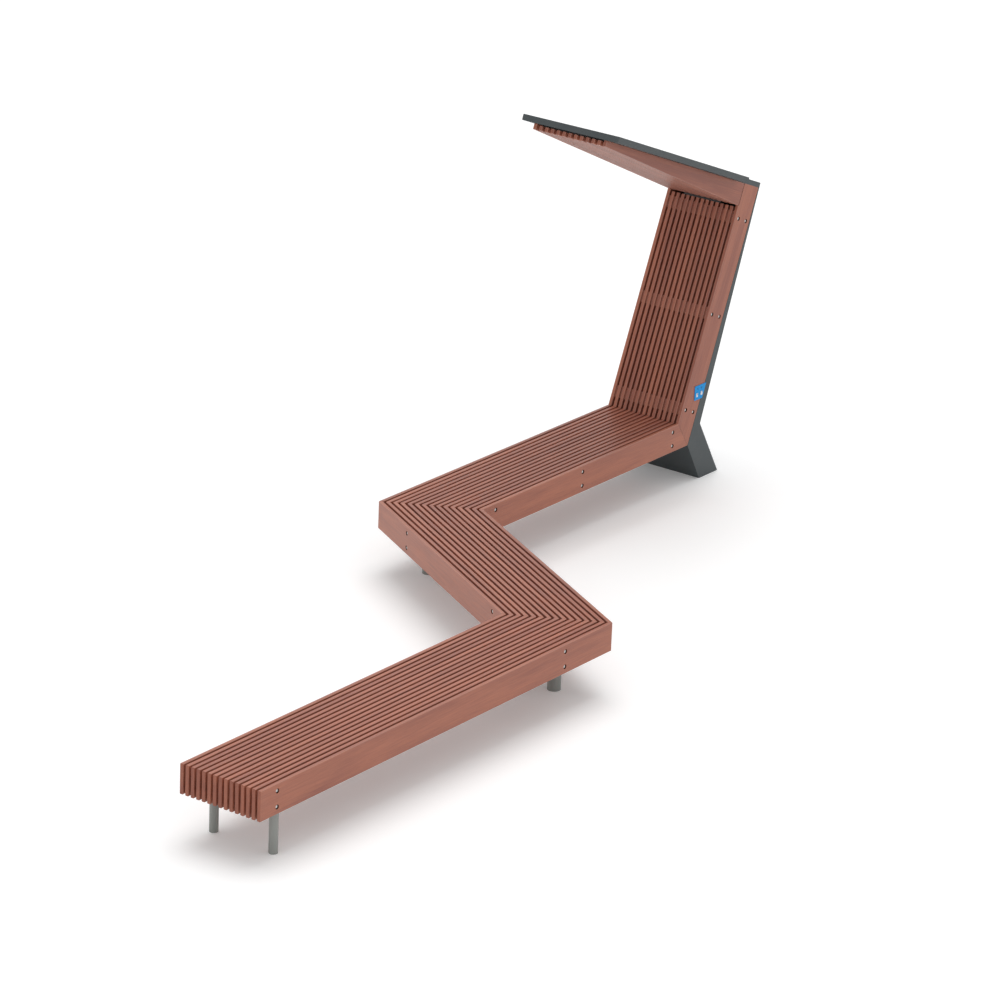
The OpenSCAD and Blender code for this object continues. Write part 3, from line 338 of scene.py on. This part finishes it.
def makeCells():
    # silicon with thin fingers and three busbars, drawn in each cell's own measure
    cell = {"busbars": (0.052, 0.0016), "fingers": (0.0022, 0.00022), "crystals": 40, "stops": (0.3, 0.7),
            "silicon": ((0.008, 0.012, 0.045), (0.014, 0.024, 0.085)), "fingerTint": (0.11, 0.125, 0.165, 1),
            "busbarTint": (0.62, 0.63, 0.65, 1)}
    made, tree, shade = blank("panelCells", Roughness=0.30, Specular_IOR_Level=0.2)
    measure = node(tree, "ShaderNodeAttribute", attribute_name="cellMeasure").outputs["Vector"]
    split = node(tree, "ShaderNodeSeparateXYZ")
    feed(tree, measure, split.inputs["Vector"])

    def lines(value, step, thick):
        # one within half a line's thickness of each step
        return maths(tree, "LESS_THAN", maths(tree, "PINGPONG", value, step / 2), thick / 2)
    crystal = node(tree, "ShaderNodeTexNoise", Scale=cell["crystals"], Detail=3)
    feed(tree, measure, crystal.inputs["Vector"])
    silicon = ramped(tree, crystal.outputs["Fac"], zip(cell["stops"], cell["silicon"]))
    fingered = mixed(tree, lines(split.outputs["X"], *cell["fingers"]), silicon, cell["fingerTint"])
    barred = mixed(tree, lines(split.outputs["Y"], *cell["busbars"]), fingered, cell["busbarTint"])
    feed(tree, barred, shade.inputs["Base Color"])
    return made


def makeGlass():
    # clear glass with a faint uneven film
    glass = {"film": 9, "roughness": (0.02, 0.14)}
    made, tree, shade = blank("panelGlass", Base_Color=(0.93, 0.97, 0.96, 1), IOR=1.5, Transmission_Weight=1.0)
    film = node(tree, "ShaderNodeTexNoise", Scale=glass["film"], Detail=4)
    feed(tree, node(tree, "ShaderNodeTexCoord").outputs["Object"], film.inputs["Vector"])
    feed(tree, ranged(tree, film.outputs["Fac"], result=glass["roughness"]), shade.inputs["Roughness"])
    return made


finish = {
    "board_timber": makeTimber("boardTimber", (0.444, 0.155, 0.090), (0.284, 0.091, 0.060)),
    "slat_timber": makeTimber("slatTimber", (0.438, 0.150, 0.088), (0.286, 0.091, 0.058)),
    "spacer_timber": makeTimber("spacerTimber", (0.300, 0.098, 0.058), (0.200, 0.064, 0.036)),
    "bright_steel": makeBright("brightSteel", (0.60, 0.60, 0.59), 0.30),
    "leg_steel": makeCoat("legSteel", (0.290, 0.303, 0.285), 0.10, 0.42),
    "dark_steel": makeCoat("darkSteel", (0.043, 0.054, 0.058), 0.05, 0.40),
    "panel_frame": makeCoat("panelFrame", (0.018, 0.018, 0.020), 0.02, 0.30, 0.6),
    "panel_backsheet": makePlastic("panelBacksheet", (0.78, 0.78, 0.77), 0.5),
    "black_rubber": makePlastic("blackRubber", (0.016, 0.016, 0.017), 0.62, 900, 0.3),
    "black_plastic": makePlastic("blackPlastic", (0.020, 0.020, 0.021), 0.42),
    "controller_case": makeCoat("controllerCase", (0.035, 0.060, 0.090), 0.03, 0.38),
    "terminal_green": makePlastic("terminalGreen", (0.045, 0.22, 0.09), 0.40),
    "battery_case": makePlastic("batteryCase", (0.048, 0.052, 0.058), 0.45),
    "terminal_brass": makeBright("terminalBrass", (0.72, 0.52, 0.24), 0.28),
    "blue_plate": makeCoat("bluePlate", (0.004, 0.300, 0.740), 0.0, 0.36, 0.0, 0.18),
    "blue_screws": makeCoat("blueScrews", (0.016, 0.110, 0.310), 0.02, 0.34),
    "white_plastic": makePlastic("whitePlastic", (0.86, 0.86, 0.85), 0.26, 1400, 0.05),
}
finish["panel_cells"] = makeCells()
finish["panel_glass"] = makeGlass()
print("materials ready")


def selectOnly(*objects):
    bpy.ops.object.select_all(action="DESELECT")
    for o in objects:
        o.select_set(True)
    bpy.context.view_layer.objects.active = objects[0]


def pieceName(name):
    words = name.split("_")
    return words[0] + "".join(word.capitalize() for word in words[1:])


def copyOf(source):
    # a clean copy of a node's mesh: doubles merged, flat faces whole again
    clean = {"merge": 0.00002, "flat": 0.6}
    mesh = frame["nodes"][source].data.copy()
    piece = bpy.data.objects.new(pieceName(source), mesh)
    bpy.context.scene.collection.objects.link(piece)
    selectOnly(piece)
    bpy.ops.object.mode_set(mode="EDIT")
    bpy.ops.mesh.select_all(action="SELECT")
    bpy.ops.mesh.remove_doubles(threshold=clean["merge"])
    bpy.ops.mesh.dissolve_limited(angle_limit=math.radians(clean["flat"]))
    bpy.ops.object.mode_set(mode="OBJECT")
    return piece


def smoothed(piece, angle=38):
    # smooth round the corners, true on the flats
    selectOnly(piece)
    bpy.ops.object.shade_smooth_by_angle(angle=math.radians(angle))
    even = piece.modifiers.new("evenFlats", "WEIGHTED_NORMAL")
    even.mode = "FACE_AREA"
    even.weight = 50
    even.keep_sharp = True
    bpy.ops.object.modifier_apply(modifier="evenFlats")


def softenEdges(piece, width, segments=2, sharp=30, fine=0.004, fineShare=0.35):
    # rounds the corners; the short edges round a hole get less
    work = bmesh.new()
    work.from_mesh(piece.data)
    weight = work.edges.layers.float.new("bevel_weight_edge")
    for edge in work.edges:
        if len(edge.link_faces) == 2 and edge.calc_face_angle() > math.radians(sharp):
            edge[weight] = fineShare if edge.calc_length() < fine else 1.0
    work.to_mesh(piece.data)
    work.free()
    selectOnly(piece)
    soften = piece.modifiers.new("softEdges", "BEVEL")
    soften.width = width
    soften.segments = segments
    soften.limit_method = "WEIGHT"
    soften.use_clamp_overlap = True
    bpy.ops.object.modifier_apply(modifier="softEdges")
    smoothed(piece)


def settle(piece, body, slotName, *nodes):
    # the finish, the body it moves with and the nodes it stands for
    piece.data.materials.clear()
    piece.data.materials.append(finish[slotName])
    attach(piece, body)
    if nodes:
        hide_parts(*nodes)
    return piece


def skinOf(name, loops, closed=False):
    # one closed skin over a run of rings
    work = bmesh.new()
    rings = [[work.verts.new(place) for place in loop] for loop in loops]
    count = len(rings[0])
    for low, high in zip(rings, rings[1:] + rings[:1] if closed else rings[1:]):
        for i in range(count):
            j = (i + 1) % count
            work.faces.new((low[i], low[j], high[j], high[i]))
    if not closed:
        work.faces.new(rings[0])
        work.faces.new(rings[-1])
    bmesh.ops.recalc_face_normals(work, faces=work.faces)
    mesh = bpy.data.meshes.new(name)
    work.to_mesh(mesh)
    work.free()
    piece = bpy.data.objects.new(name, mesh)
    bpy.context.scene.collection.objects.link(piece)
    return piece


def roundRing(radius, height):
    return lambda turn: (radius, height)


def hexRing(flat, height, fall=0.0):
    # a six-sided ring; fall sets its corners back as a chamfer does
    def at(turn):
        radius = flat / 2 / math.cos((turn + math.pi / 6) % (math.pi / 3) - math.pi / 6)
        return radius, height + fall * (radius - flat / 2)
    return at


def turnedPiece(name, rings, sides=24, closed=False):
    loops = []
    for ring in rings:
        spots = [(math.tau * i / sides, *ring(math.tau * i / sides)) for i in range(sides)]
        loops.append([(radius * math.cos(turn), radius * math.sin(turn), height) for turn, radius, height in spots])
    piece = skinOf(name, loops, closed)
    smoothed(piece, 30)
    return piece


def roundedPath(points, bend, share=0.4, steps=6):
    # the same route with each corner taken as an arc, which starts at most a share of the way to the next corner
    path = [points[0]]
    for before, corner, after in zip(points, points[1:], points[2:]):
        reach = min(bend, share * (corner - before).length, share * (after - corner).length)
        start = corner + (before - corner).normalized() * reach
        end = corner + (after - corner).normalized() * reach
        path += [(1 - t) ** 2 * start + 2 * t * (1 - t) * corner + t * t * end
                 for t in [i / steps for i in range(steps + 1)]]
    return path + [points[-1]]


def sweptTube(name, path, radius, sides=14, ripple=None):
    # a round tube along a path; ripple scales its radius from ring to ring
    side = (path[1] - path[0]).orthogonal()
    loops = []
    for i, place in enumerate(path):
        onward = (path[min(i + 1, len(path) - 1)] - path[max(i - 1, 0)]).normalized()
        side = (side - onward * side.dot(onward)).normalized()
        up = onward.cross(side)
        size = radius * (ripple(i) if ripple else 1)
        turns = [math.tau * j / sides for j in range(sides)]
        loops.append([place + size * (math.cos(turn) * side + math.sin(turn) * up) for turn in turns])
    piece = skinOf(name, loops)
    smoothed(piece, 50)
    return piece


def spread(model, name, places):
    # copies of one model with their own meshes, each in its place, joined
    copies = []
    for place in places:
        copy = bpy.data.objects.new(name, model.data.copy())
        copy.data.transform(place)
        bpy.context.scene.collection.objects.link(copy)
        copies.append(copy)
    bpy.data.objects.remove(model)
    selectOnly(*copies)
    bpy.ops.object.join()
    joined = bpy.context.object
    joined.name = name
    return joined


def islandsOf(mesh):
    # the separate solids of a mesh, as lists of corner numbers
    links = [[] for _ in mesh.vertices]
    for edge in mesh.edges:
        first, second = edge.vertices
        links[first].append(second)
        links[second].append(first)
    seen, found = set(), []
    for start in range(len(links)):
        if start in seen:
            continue
        seen.add(start)
        group, waiting = [], [start]
        while waiting:
            here = waiting.pop()
            group.append(here)
            fresh = [other for other in links[here] if other not in seen]
            seen.update(fresh)
            waiting += fresh
        found.append(sorted(group))
    return found


def addMarks(mesh, kind, domain, **marks):
    field = "vector" if kind == "FLOAT_VECTOR" else "value"
    for name, values in marks.items():
        mesh.attributes.new(name, kind, domain).data.foreach_set(field, values)


def woodDraw(seed, tone):
    # one board's own stretch of grain, and how much darker it is
    reach = (40, 5, 5)
    draw = random.Random(seed)
    offset = Vector([draw.uniform(0, far) for far in reach])
    return offset, draw.uniform(-tone, tone)


def grainOnBoards(piece, place, along, step, seed, spots, freeEnd):
    # each board gets its own stretch of grain and tone; ends are marked, bore walls and joints for painted shade, edges
    # for painted highlight
    marks = {"seeds": 100, "tone": 0.12, "play": 0.0005, "cutArea": 0.0004, "cutLean": 0.6, "sameCut": 0.999,
             "onCut": 0.99, "boreReach": 0.0155, "farAway": 1, "boreWall": 0.5, "flat": 0.97, "tilted": 0.15,
             "jointLean": 0.12, "endReach": 0.01, "frontReach": 0.003, "jointShade": 0.9}
    mesh = piece.data
    inward = place.inverted()
    order = (0, 1, 2) if along == "X" else (2, 1, 0)
    lengthwise, crosswise = order[0], order[2]
    drawn, grain, tone = {}, [], []
    for vertex in mesh.vertices:
        local = inward @ vertex.co
        index = math.floor((local.y + marks["play"]) / step)
        if index not in drawn:
            drawn[index] = woodDraw(seed * marks["seeds"] + index, marks["tone"])
        offset, darker = drawn[index]
        grain.extend(Vector([local[i] for i in order]) + offset)
        tone.append(darker)
    turn = inward.to_3x3()
    lowest = min((inward @ vertex.co)[lengthwise] for vertex in mesh.vertices)
    cuts = []
    for face in mesh.polygons:
        normal = turn @ face.normal
        isCut = face.area > marks["cutArea"] and abs(normal[lengthwise]) > marks["cutLean"]
        if isCut and not any(normal.dot(cut) > marks["sameCut"] for cut in cuts):
            cuts.append(normal)
    ends, edges, dirt = [], [], []
    for face in mesh.polygons:
        normal = turn @ face.normal
        centre = inward @ face.center
        onEnd = any(normal.dot(cut) > marks["onCut"] for cut in cuts)
        nearest = min([math.hypot(centre.x - x, centre.z - z) for x, z in spots] + [marks["farAway"]])
        inBore = not onEnd and nearest < marks["boreReach"]
        lean = abs(normal[lengthwise])
        slant = max(abs(normal.y), abs(normal[crosswise])) < marks["flat"] or lean > marks["tilted"]
        atFreeEnd = freeEnd and centre[lengthwise] < lowest + marks["endReach"]
        # the back board's front edge under the roof board also takes painted shade
        underRoof = along == "Z" and centre.z > bench["roofJoint"] and centre.x < marks["frontReach"]
        atJoint = slant and (underRoof or lean > marks["jointLean"] and not atFreeEnd)
        plain = not (onEnd or inBore)
        ends.append(1.0 if onEnd else 0.0)
        # painted shade: counterbore walls in full, bevels at joints a little less
        dirt.append(1.0 if inBore and abs(normal.y) < marks["boreWall"] else marks["jointShade"] * (atJoint and plain))
        # painted highlight on the remaining edge bevels
        edges.append(1.0 if slant and plain and not atJoint else 0.0)
    addMarks(mesh, "FLOAT_VECTOR", "POINT", woodGrain=grain)
    addMarks(mesh, "FLOAT", "POINT", boardTone=tone)
    addMarks(mesh, "FLOAT", "FACE", endGrain=ends, dirt=dirt, arris=edges)


def grainOnBlocks(piece, places, along, seed):
    # small blocks: each one's grain lies along the arm it belongs to, the one in which it is narrowest
    marks = {"seeds": 1000, "tone": 0.15}
    mesh = piece.data
    order = (0, 1, 2) if along == "X" else (2, 1, 0)
    grain, tone = [0.0] * (3 * len(mesh.vertices)), [0.0] * len(mesh.vertices)
    for index, island in enumerate(islandsOf(mesh)):
        offset, darker = woodDraw(seed * marks["seeds"] + index, marks["tone"])
        spans = []
        for place in places:
            across = [(place.inverted() @ mesh.vertices[i].co).y for i in island]
            spans.append(max(across) - min(across))
        inward = places[spans.index(min(spans))].inverted()
        for i in island:
            local = inward @ mesh.vertices[i].co
            grain[3 * i:3 * i + 3] = Vector([local[axis] for axis in order]) + offset
            tone[i] = darker
    addMarks(mesh, "FLOAT_VECTOR", "POINT", woodGrain=grain)
    addMarks(mesh, "FLOAT", "POINT", boardTone=tone)


def splitAcross(piece, place, level):
    # a cut through the mesh, so that what lies above the level can be marked by itself
    work = bmesh.new()
    work.from_mesh(piece.data)
    everything = work.verts[:] + work.edges[:] + work.faces[:]
    bmesh.ops.bisect_plane(work, geom=everything, plane_co=place @ Vector((0, 0, level)),
                           plane_no=place.to_3x3() @ Vector((0, 0, 1)))
    work.to_mesh(piece.data)
    work.free()
    smoothed(piece)


def makeTimberWork():
    timber = {"seat": {"step": bench["pitch"], "soft": 0.0018}, "roof": {"step": bench["roofPitch"], "soft": 0.0030},
              "blocks": {"soft": 0.0010}}
    spots = {key: [(x, bench["seat"] - d) for x in bolts[key] for d in bolts["depths"]] for key in ("a", "b", "c")}
    spots["back"] = [(d, m) for m in bolts["back"] for d in bolts["depths"]]
    spots["roof"] = []
    work = [("board_a_near", armPlace, "a"), ("board_a_far", armPlace, "a"), ("slats_a", armPlace, "a"),
            ("board_b_left", middlePlace, "b"), ("board_b_right", middlePlace, "b"), ("slats_b", middlePlace, "b"),
            ("board_c_near", endPlace, "c"), ("board_c_far", endPlace, "c"), ("slats_c", endPlace, "c"),
            ("back_board_near", backPlace, "back"), ("back_board_far", backPlace, "back"),
            ("back_slats", backPlace, "back"), ("roof_board_near", roofPlace, "roof"),
            ("roof_board_far", roofPlace, "roof"), ("roof_slats", roofPlace, "roof")]
    for seed, (name, place, key) in enumerate(work):
        kind = timber["roof" if key == "roof" else "seat"]
        freeEnd = key in ("a", "roof")
        piece = copyOf(name)
        softenEdges(piece, kind["soft"])
        if name.startswith("back_board"):
            splitAcross(piece, place, bench["roofJoint"])
        grainOnBoards(piece, place, "Z" if key == "back" else "X", kind["step"], seed + 1, spots[key], freeEnd)
        settle(piece, "bench", "slat_timber" if "slats" in name else "board_timber", name)
    for seed, (name, places, along) in enumerate([("seat_spacers", [armPlace, middlePlace], "X"),
                                                  ("back_spacers", [backPlace], "Z")]):
        piece = copyOf(name)
        softenEdges(piece, timber["blocks"]["soft"])
        grainOnBlocks(piece, places, along, seed + 1)
        settle(piece, "bench", "spacer_timber", name)


def buttonHead(name, radius, high, key, shank=0.0, deep=0.0):
    # a low dome with a hexagon key hole, on a shank where one shows
    dome = {"profile": ((1, 0), (0.985, 0.35), (0.86, 0.72), (0.62, 1)), "keyFloor": 0.35}
    rings = [roundRing(shank, -deep), roundRing(shank, 0)] if shank else []
    rings += [roundRing(radius * across, high * up) for across, up in dome["profile"]]
    return turnedPiece(name, rings + [hexRing(key, high), hexRing(key, high * dome["keyFloor"])])


def makeFasteners():
    # chamfered hexagon heads and nuts, and round threads on the tails
    bolt = {"outer": 0.0051, "seat": 0.0115, "radius": 0.005, "flat": 0.017, "crown": 0.46, "slope": 30,
            "chamfer": 0.0004, "thread": 0.0006, "pitch": 0.0015, "turns": 12, "threadFrom": 0.5415, "taper": 0.001,
            "end": 0.5600, "nutFrom": 0.5505, "nutHigh": 0.008, "countersink": 0.0006}
    slope, crown = math.tan(math.radians(bolt["slope"])), bolt["flat"] * bolt["crown"]
    places = [place @ Matrix.Translation((x, 0, bench["seat"] - d))
              for key, place in (("a", armPlace), ("b", middlePlace), ("c", endPlace))
              for x in bolts[key] for d in bolts["depths"]]
    places += [backPlace @ Matrix.Translation((d, 0, m)) for m in bolts["back"] for d in bolts["depths"]]
    places = [place @ turned(-90, "X") for place in places]
    rings = [roundRing(crown, bolt["outer"]), hexRing(bolt["flat"], bolt["outer"] + bolt["chamfer"], slope),
             hexRing(bolt["flat"], bolt["seat"]), roundRing(bolt["radius"], bolt["seat"]),
             roundRing(bolt["radius"], bolt["threadFrom"])]
    for i in range(bolt["turns"]):
        height = bolt["threadFrom"] + (i + 0.5) * bolt["pitch"]
        rings += [roundRing(bolt["radius"] - bolt["thread"], height),
                  roundRing(bolt["radius"], height + bolt["pitch"] / 2)]
    rings.append(roundRing(bolt["radius"] - bolt["taper"], bolt["end"]))
    settle(spread(turnedPiece("throughBolt", rings), "throughBolts", places), "bench", "bright_steel", "through_bolts")
    near, far = bolt["nutFrom"], bolt["nutFrom"] + bolt["nutHigh"]
    rings = [roundRing(bolt["radius"], near), roundRing(crown, near),
             hexRing(bolt["flat"], near + bolt["chamfer"], slope), hexRing(bolt["flat"], far - bolt["chamfer"], -slope),
             roundRing(crown, far), roundRing(bolt["radius"] + bolt["countersink"], far),
             roundRing(bolt["radius"], far - bolt["countersink"])]
    nuts = spread(turnedPiece("boltNut", rings, closed=True), "boltNuts", places)
    settle(nuts, "bench", "bright_steel", "bolt_nuts")
    tray = {"radius": 0.0065, "high": 0.004, "key": 0.0045, "shank": 0.004, "floor": 0.003, "deep": 0.011,
            "x": (-0.445, -0.830, -1.215, -1.600), "y": (0.078875, 0.483125)}
    model = buttonHead("trayBolt", tray["radius"], tray["high"], tray["key"], tray["shank"], tray["deep"])
    places = [roofPlace @ Matrix.Translation((x, y, tray["floor"])) for x in tray["x"] for y in tray["y"]]
    settle(spread(model, "trayBolts", places), "bench", "bright_steel", "tray_bolts")
    plate = {"radius": 0.006, "high": 0.0016, "key": 0.005, "x": (0.200, 0.240), "face": -0.004, "z": 0.643}
    model = buttonHead("plateScrew", plate["radius"], plate["high"], plate["key"])
    places = [footPlace @ Matrix.Translation((x, plate["face"], plate["z"])) @ turned(90, "X") for x in plate["x"]]
    settle(spread(model, "plateScrews", places), "bench", "blue_screws", "plate_screws")
    under = {"radius": 0.0075, "high": 0.0036, "key": 0.004, "shank": 0.003, "deep": 0.0118, "level": 0.258,
             "end": (0.204, 0.281, 0.0225), "corners": ((3.03776, 0.281), (4.00526, 1.95676)),
             "corner": (0.0275, 0.211568)}
    places = []
    x, y, across = under["end"]
    places += [armPlace @ Matrix.Translation((x + s * across, y, under["level"])) @ turned(180, "X")
               for s in (-1, 1)]
    across, reach = under["corner"]
    for x, y in under["corners"]:
        centre = armPlace @ Matrix.Translation((x, y, under["level"])) @ turned(30, "Z")
        places += [centre @ Matrix.Translation((s * across, k * reach, 0)) @ turned(180, "X")
                   for s in (-1, 1) for k in (-1, 1)]
    model = buttonHead("bearerScrew", under["radius"], under["high"], under["key"], under["shank"], under["deep"])
    settle(spread(model, "bearerScrews", places), "bench", "bright_steel")


def makeSteelWork():
    steel = {"end_legs": 0.0010, "end_bearer": 0.0012, "corner_posts": 0.0012, "corner_bearers": 0.0012,
             "seat_bracket": 0.0010, "spine": 0.0025, "base_plate": 0.0010, "roof_arm": 0.0020,
             "roof_ribs": 0.0010, "roof_straps": 0.0008, "roof_tray": 0.0009, "panel_frame": 0.0006,
             "panel_backsheet": 0.0001, "junction_box": 0.0020, "grommets": 0.0004,
             "equipment_bracket": 0.0006, "controller": 0.0012, "controller_terminals": 0.0006,
             "battery": 0.0025, "battery_terminals": 0.0008, "battery_strap": 0.0005, "charge_plate": 0.0005,
             "port_bezels": 0.0005, "port_module": 0.0003, "port_cap": 0.0008,
             "cap_pin": 0.0002, "service_door": 0.0010, "door_frame": 0.0006, "door_seal": 0.0006,
             "hinge_pins": 0.0006, "lock_upper": 0.0007, "lock_lower": 0.0007, "lamp_bar": 0.0010,
             "bolt_washers": 0.0003, "panel_glass": 0.0004}
    moving = ("service_door", "lock_upper", "lock_lower", "port_cap")
    slots = {row["node"]: row["material_slot"] for row in frame["record"]["subparts"]}
    for name, width in steel.items():
        piece = copyOf(name)
        softenEdges(piece, width)
        settle(piece, name if name in moving else "bench", slots[name], name)


def makeWelds():
    # rippled beads: pipes under their bearers, bracket on the slope of the foot
    leg, post = 0.026, 0.041
    weld = {"size": 0.0030, "sides": 8, "ripple": 0.10, "wave": 0.0045, "steps": 5, "level": 0.258, "sunk": 0.2,
            "pipes": ((0.204, 0.0725, leg), (0.204, 0.4895, leg), (3.03776, 0.281, post), (4.00526, 1.95676, post))}

    def ripple(i):
        return 1 + weld["ripple"] * math.sin(math.tau * i / weld["steps"])

    def bead(name, path):
        return sweptTube(name, path, weld["size"], weld["sides"], ripple)
    beads = []
    for x, y, radius in weld["pipes"]:
        reach = radius + weld["size"] * weld["sunk"]
        level = weld["level"] - weld["size"] * weld["sunk"]
        count = round(math.tau * reach / weld["wave"]) * weld["steps"]
        turns = [math.tau * i / count for i in range(count + 1)]
        ring = [Vector((x + reach * math.cos(turn), y + reach * math.sin(turn), level)) for turn in turns]
        beads.append(bead("pipeBead", [armPlace @ place for place in ring]))
    selectOnly(*beads)
    bpy.ops.object.join()
    bpy.context.object.name = "pipeBeads"
    settle(bpy.context.object, "bench", "leg_steel")
    line = {"x": 0.12719, "z": 0.2580, "from": 0.034, "to": 0.528}
    count = round((line["to"] - line["from"]) / weld["wave"] * weld["steps"])
    path = [footPlace @ Vector((line["x"], line["from"] + (line["to"] - line["from"]) * i / count, line["z"]))
            for i in range(count + 1)]
    settle(bead("bracketBead", path), "bench", "dark_steel")


def makeCables():
    # the routes of part.scad, in the foot's own frame, with their corners rounded
    cables = {"panelCable": {"node": "panel_cable", "radius": 0.0035, "bend": 0.025, "routes": [
                  [(0.3843, 0.30025, 2.05241), (0.786585, 0.30025, 1.89394), (0.624172, 0.30025, 1.50115),
                   (0.601211, 0.30025, 1.44572), (0.619767, 0.30025, 1.43804), (0.211432, 0.30025, 0.427365),
                   (0.276, 0.30025, 0.290), (0.316, 0.3595, 0.236), (0.316, 0.3595, 0.182)]]},
              "portCable": {"node": "port_cable", "radius": 0.0025, "bend": 0.020, "routes": [
                  [(0.2065, 0.026, 0.6055), (0.2065, 0.03075, 0.6055), (0.225702, 0.03075, 0.592472),
                   (0.271896, 0.03075, 0.573338), (0.211432, 0.03075, 0.427365), (0.220272, 0.05075, 0.330),
                   (0.316, 0.4045, 0.212), (0.316, 0.4045, 0.182)]]},
              "batteryLeads": {"node": "battery_leads", "radius": 0.003, "bend": 0.009, "routes": [
                  [(0.335, 0.274, 0.186), (0.335, 0.274, 0.200), (0.335, 0.446, 0.200), (0.316, 0.446, 0.200),
                   (0.316, 0.446, 0.042), (0.316, 0.4045, 0.042), (0.316, 0.4045, 0.058)],
                  [(0.335, 0.147, 0.186), (0.335, 0.147, 0.210), (0.335, 0.456, 0.210), (0.316, 0.456, 0.210),
                   (0.316, 0.456, 0.032), (0.316, 0.3745, 0.032), (0.316, 0.3745, 0.058)]]}}
    slots = {row["node"]: row["material_slot"] for row in frame["record"]["subparts"]}
    for name, cable in cables.items():
        tubes = []
        for route in cable["routes"]:
            path = roundedPath([footPlace @ Vector(point) for point in route], cable["bend"])
            tubes.append(sweptTube(name, path, cable["radius"]))
        selectOnly(*tubes)
        if len(tubes) > 1:
            bpy.ops.object.join()
        bpy.context.object.name = name
        settle(bpy.context.object, "bench", slots[cable["node"]], cable["node"])


def makeElectrics():
    # crowned light strip in its housing, lamps on the controller, plugs and nuts on the battery
    strip = {"x": (-0.0076, -0.0004), "y": (0.1425, 0.4195), "level": 1.4586, "crown": 0.0011, "back": 0.0013,
             "top": 0.0015, "steps": 6}
    low, high = strip["x"]
    crown = [(t, strip["back"] - strip["crown"] * math.sin(math.pi * t))
             for t in [i / strip["steps"] for i in range(strip["steps"] + 1)]]
    loops = []
    for y in strip["y"]:
        face = [(low + (high - low) * t, y, strip["level"] + rise) for t, rise in crown]
        face += [(x, y, strip["level"] + strip["top"]) for x in (high, low)]
        loops.append([backPlace @ Vector(point) for point in face])
    lens = skinOf("lampLens", loops)
    smoothed(lens)
    settle(lens, "bench", "white_plastic")
    lamp = {"face": 0.343, "y": (0.347, 0.362, 0.377), "z": 0.160, "radius": 0.0022, "sides": 16,
            "profile": ((1, -0.0004), (1, 0.0006), (0.8, 0.0014), (0.4, 0.0018))}
    rings = [roundRing(lamp["radius"] * across, up) for across, up in lamp["profile"]]
    places = [footPlace @ Matrix.Translation((lamp["face"], y, lamp["z"])) @ turned(90, "Y") for y in lamp["y"]]
    settle(spread(turnedPiece("statusLamp", rings, lamp["sides"]), "statusLamps", places), "bench", "terminal_green")
    plug = {"x": 0.350, "from": 0.135, "step": 0.0302, "count": 6, "top": 0.177, "radius": 0.007,
            "profile": ((1, -0.0004), (1, 0.0012), (0.86, 0.0020)), "key": (0.0020, 0.0010)}
    rings = [roundRing(plug["radius"] * across, up) for across, up in plug["profile"]]
    rings += [hexRing(plug["radius"], up) for up in plug["key"]]
    places = [footPlace @ Matrix.Translation((plug["x"], plug["from"] + plug["step"] * i, plug["top"]))
              for i in range(plug["count"])]
    settle(spread(turnedPiece("ventPlug", rings), "ventPlugs", places), "bench", "battery_case")
    nut = {"x": 0.335, "y": (0.147, 0.274), "level": 0.1800, "radius": 0.005, "flat": 0.013, "crown": 0.46,
           "high": 0.004, "chamfer": 0.0003, "slope": 0.577}
    crown = nut["flat"] * nut["crown"]
    rings = [roundRing(nut["radius"], 0), roundRing(crown, 0), hexRing(nut["flat"], nut["chamfer"], nut["slope"]),
             hexRing(nut["flat"], nut["high"] - nut["chamfer"], -nut["slope"]), roundRing(crown, nut["high"]),
             roundRing(nut["radius"], nut["high"])]
    places = [footPlace @ Matrix.Translation((nut["x"], y, nut["level"])) for y in nut["y"]]
    settle(spread(turnedPiece("postNut", rings, closed=True), "postNuts", places), "bench", "terminal_brass")


def makePanelFace():
    # cells with cut corners; each is measured from its own corner for its fingers and busbars
    cell = {"corner": 0.012, "thick": 0.0004, "play": 0.0001, "shift": 0.026}
    cells = copyOf("panel_cells")
    work = bmesh.new()
    work.from_mesh(cells.data)
    upright = [edge for edge in work.edges if abs(edge.calc_length() - cell["thick"]) < cell["play"]]
    bmesh.ops.bevel(work, geom=upright, offset=cell["corner"], segments=1, affect="EDGES")
    bmesh.ops.recalc_face_normals(work, faces=work.faces)
    work.to_mesh(cells.data)
    work.free()
    inward = roofPlace.inverted()
    measure = [0.0] * (3 * len(cells.data.vertices))
    for island in islandsOf(cells.data):
        local = [inward @ cells.data.vertices[i].co for i in island]
        low = Vector((min(p.x for p in local), min(p.y for p in local) - cell["shift"], 0))
        for i, place in zip(island, local):
            measure[3 * i:3 * i + 3] = place - low
    addMarks(cells.data, "FLOAT_VECTOR", "POINT", cellMeasure=measure)
    settle(cells, "bench", "panel_cells", "panel_cells")


makeTimberWork()
print("timber ready")
makeSteelWork()
makeFasteners()
makeWelds()
print("steel ready")
makeCables()
makeElectrics()
makePanelFace()
print("electrics ready")

bpy.context.view_layer.update()
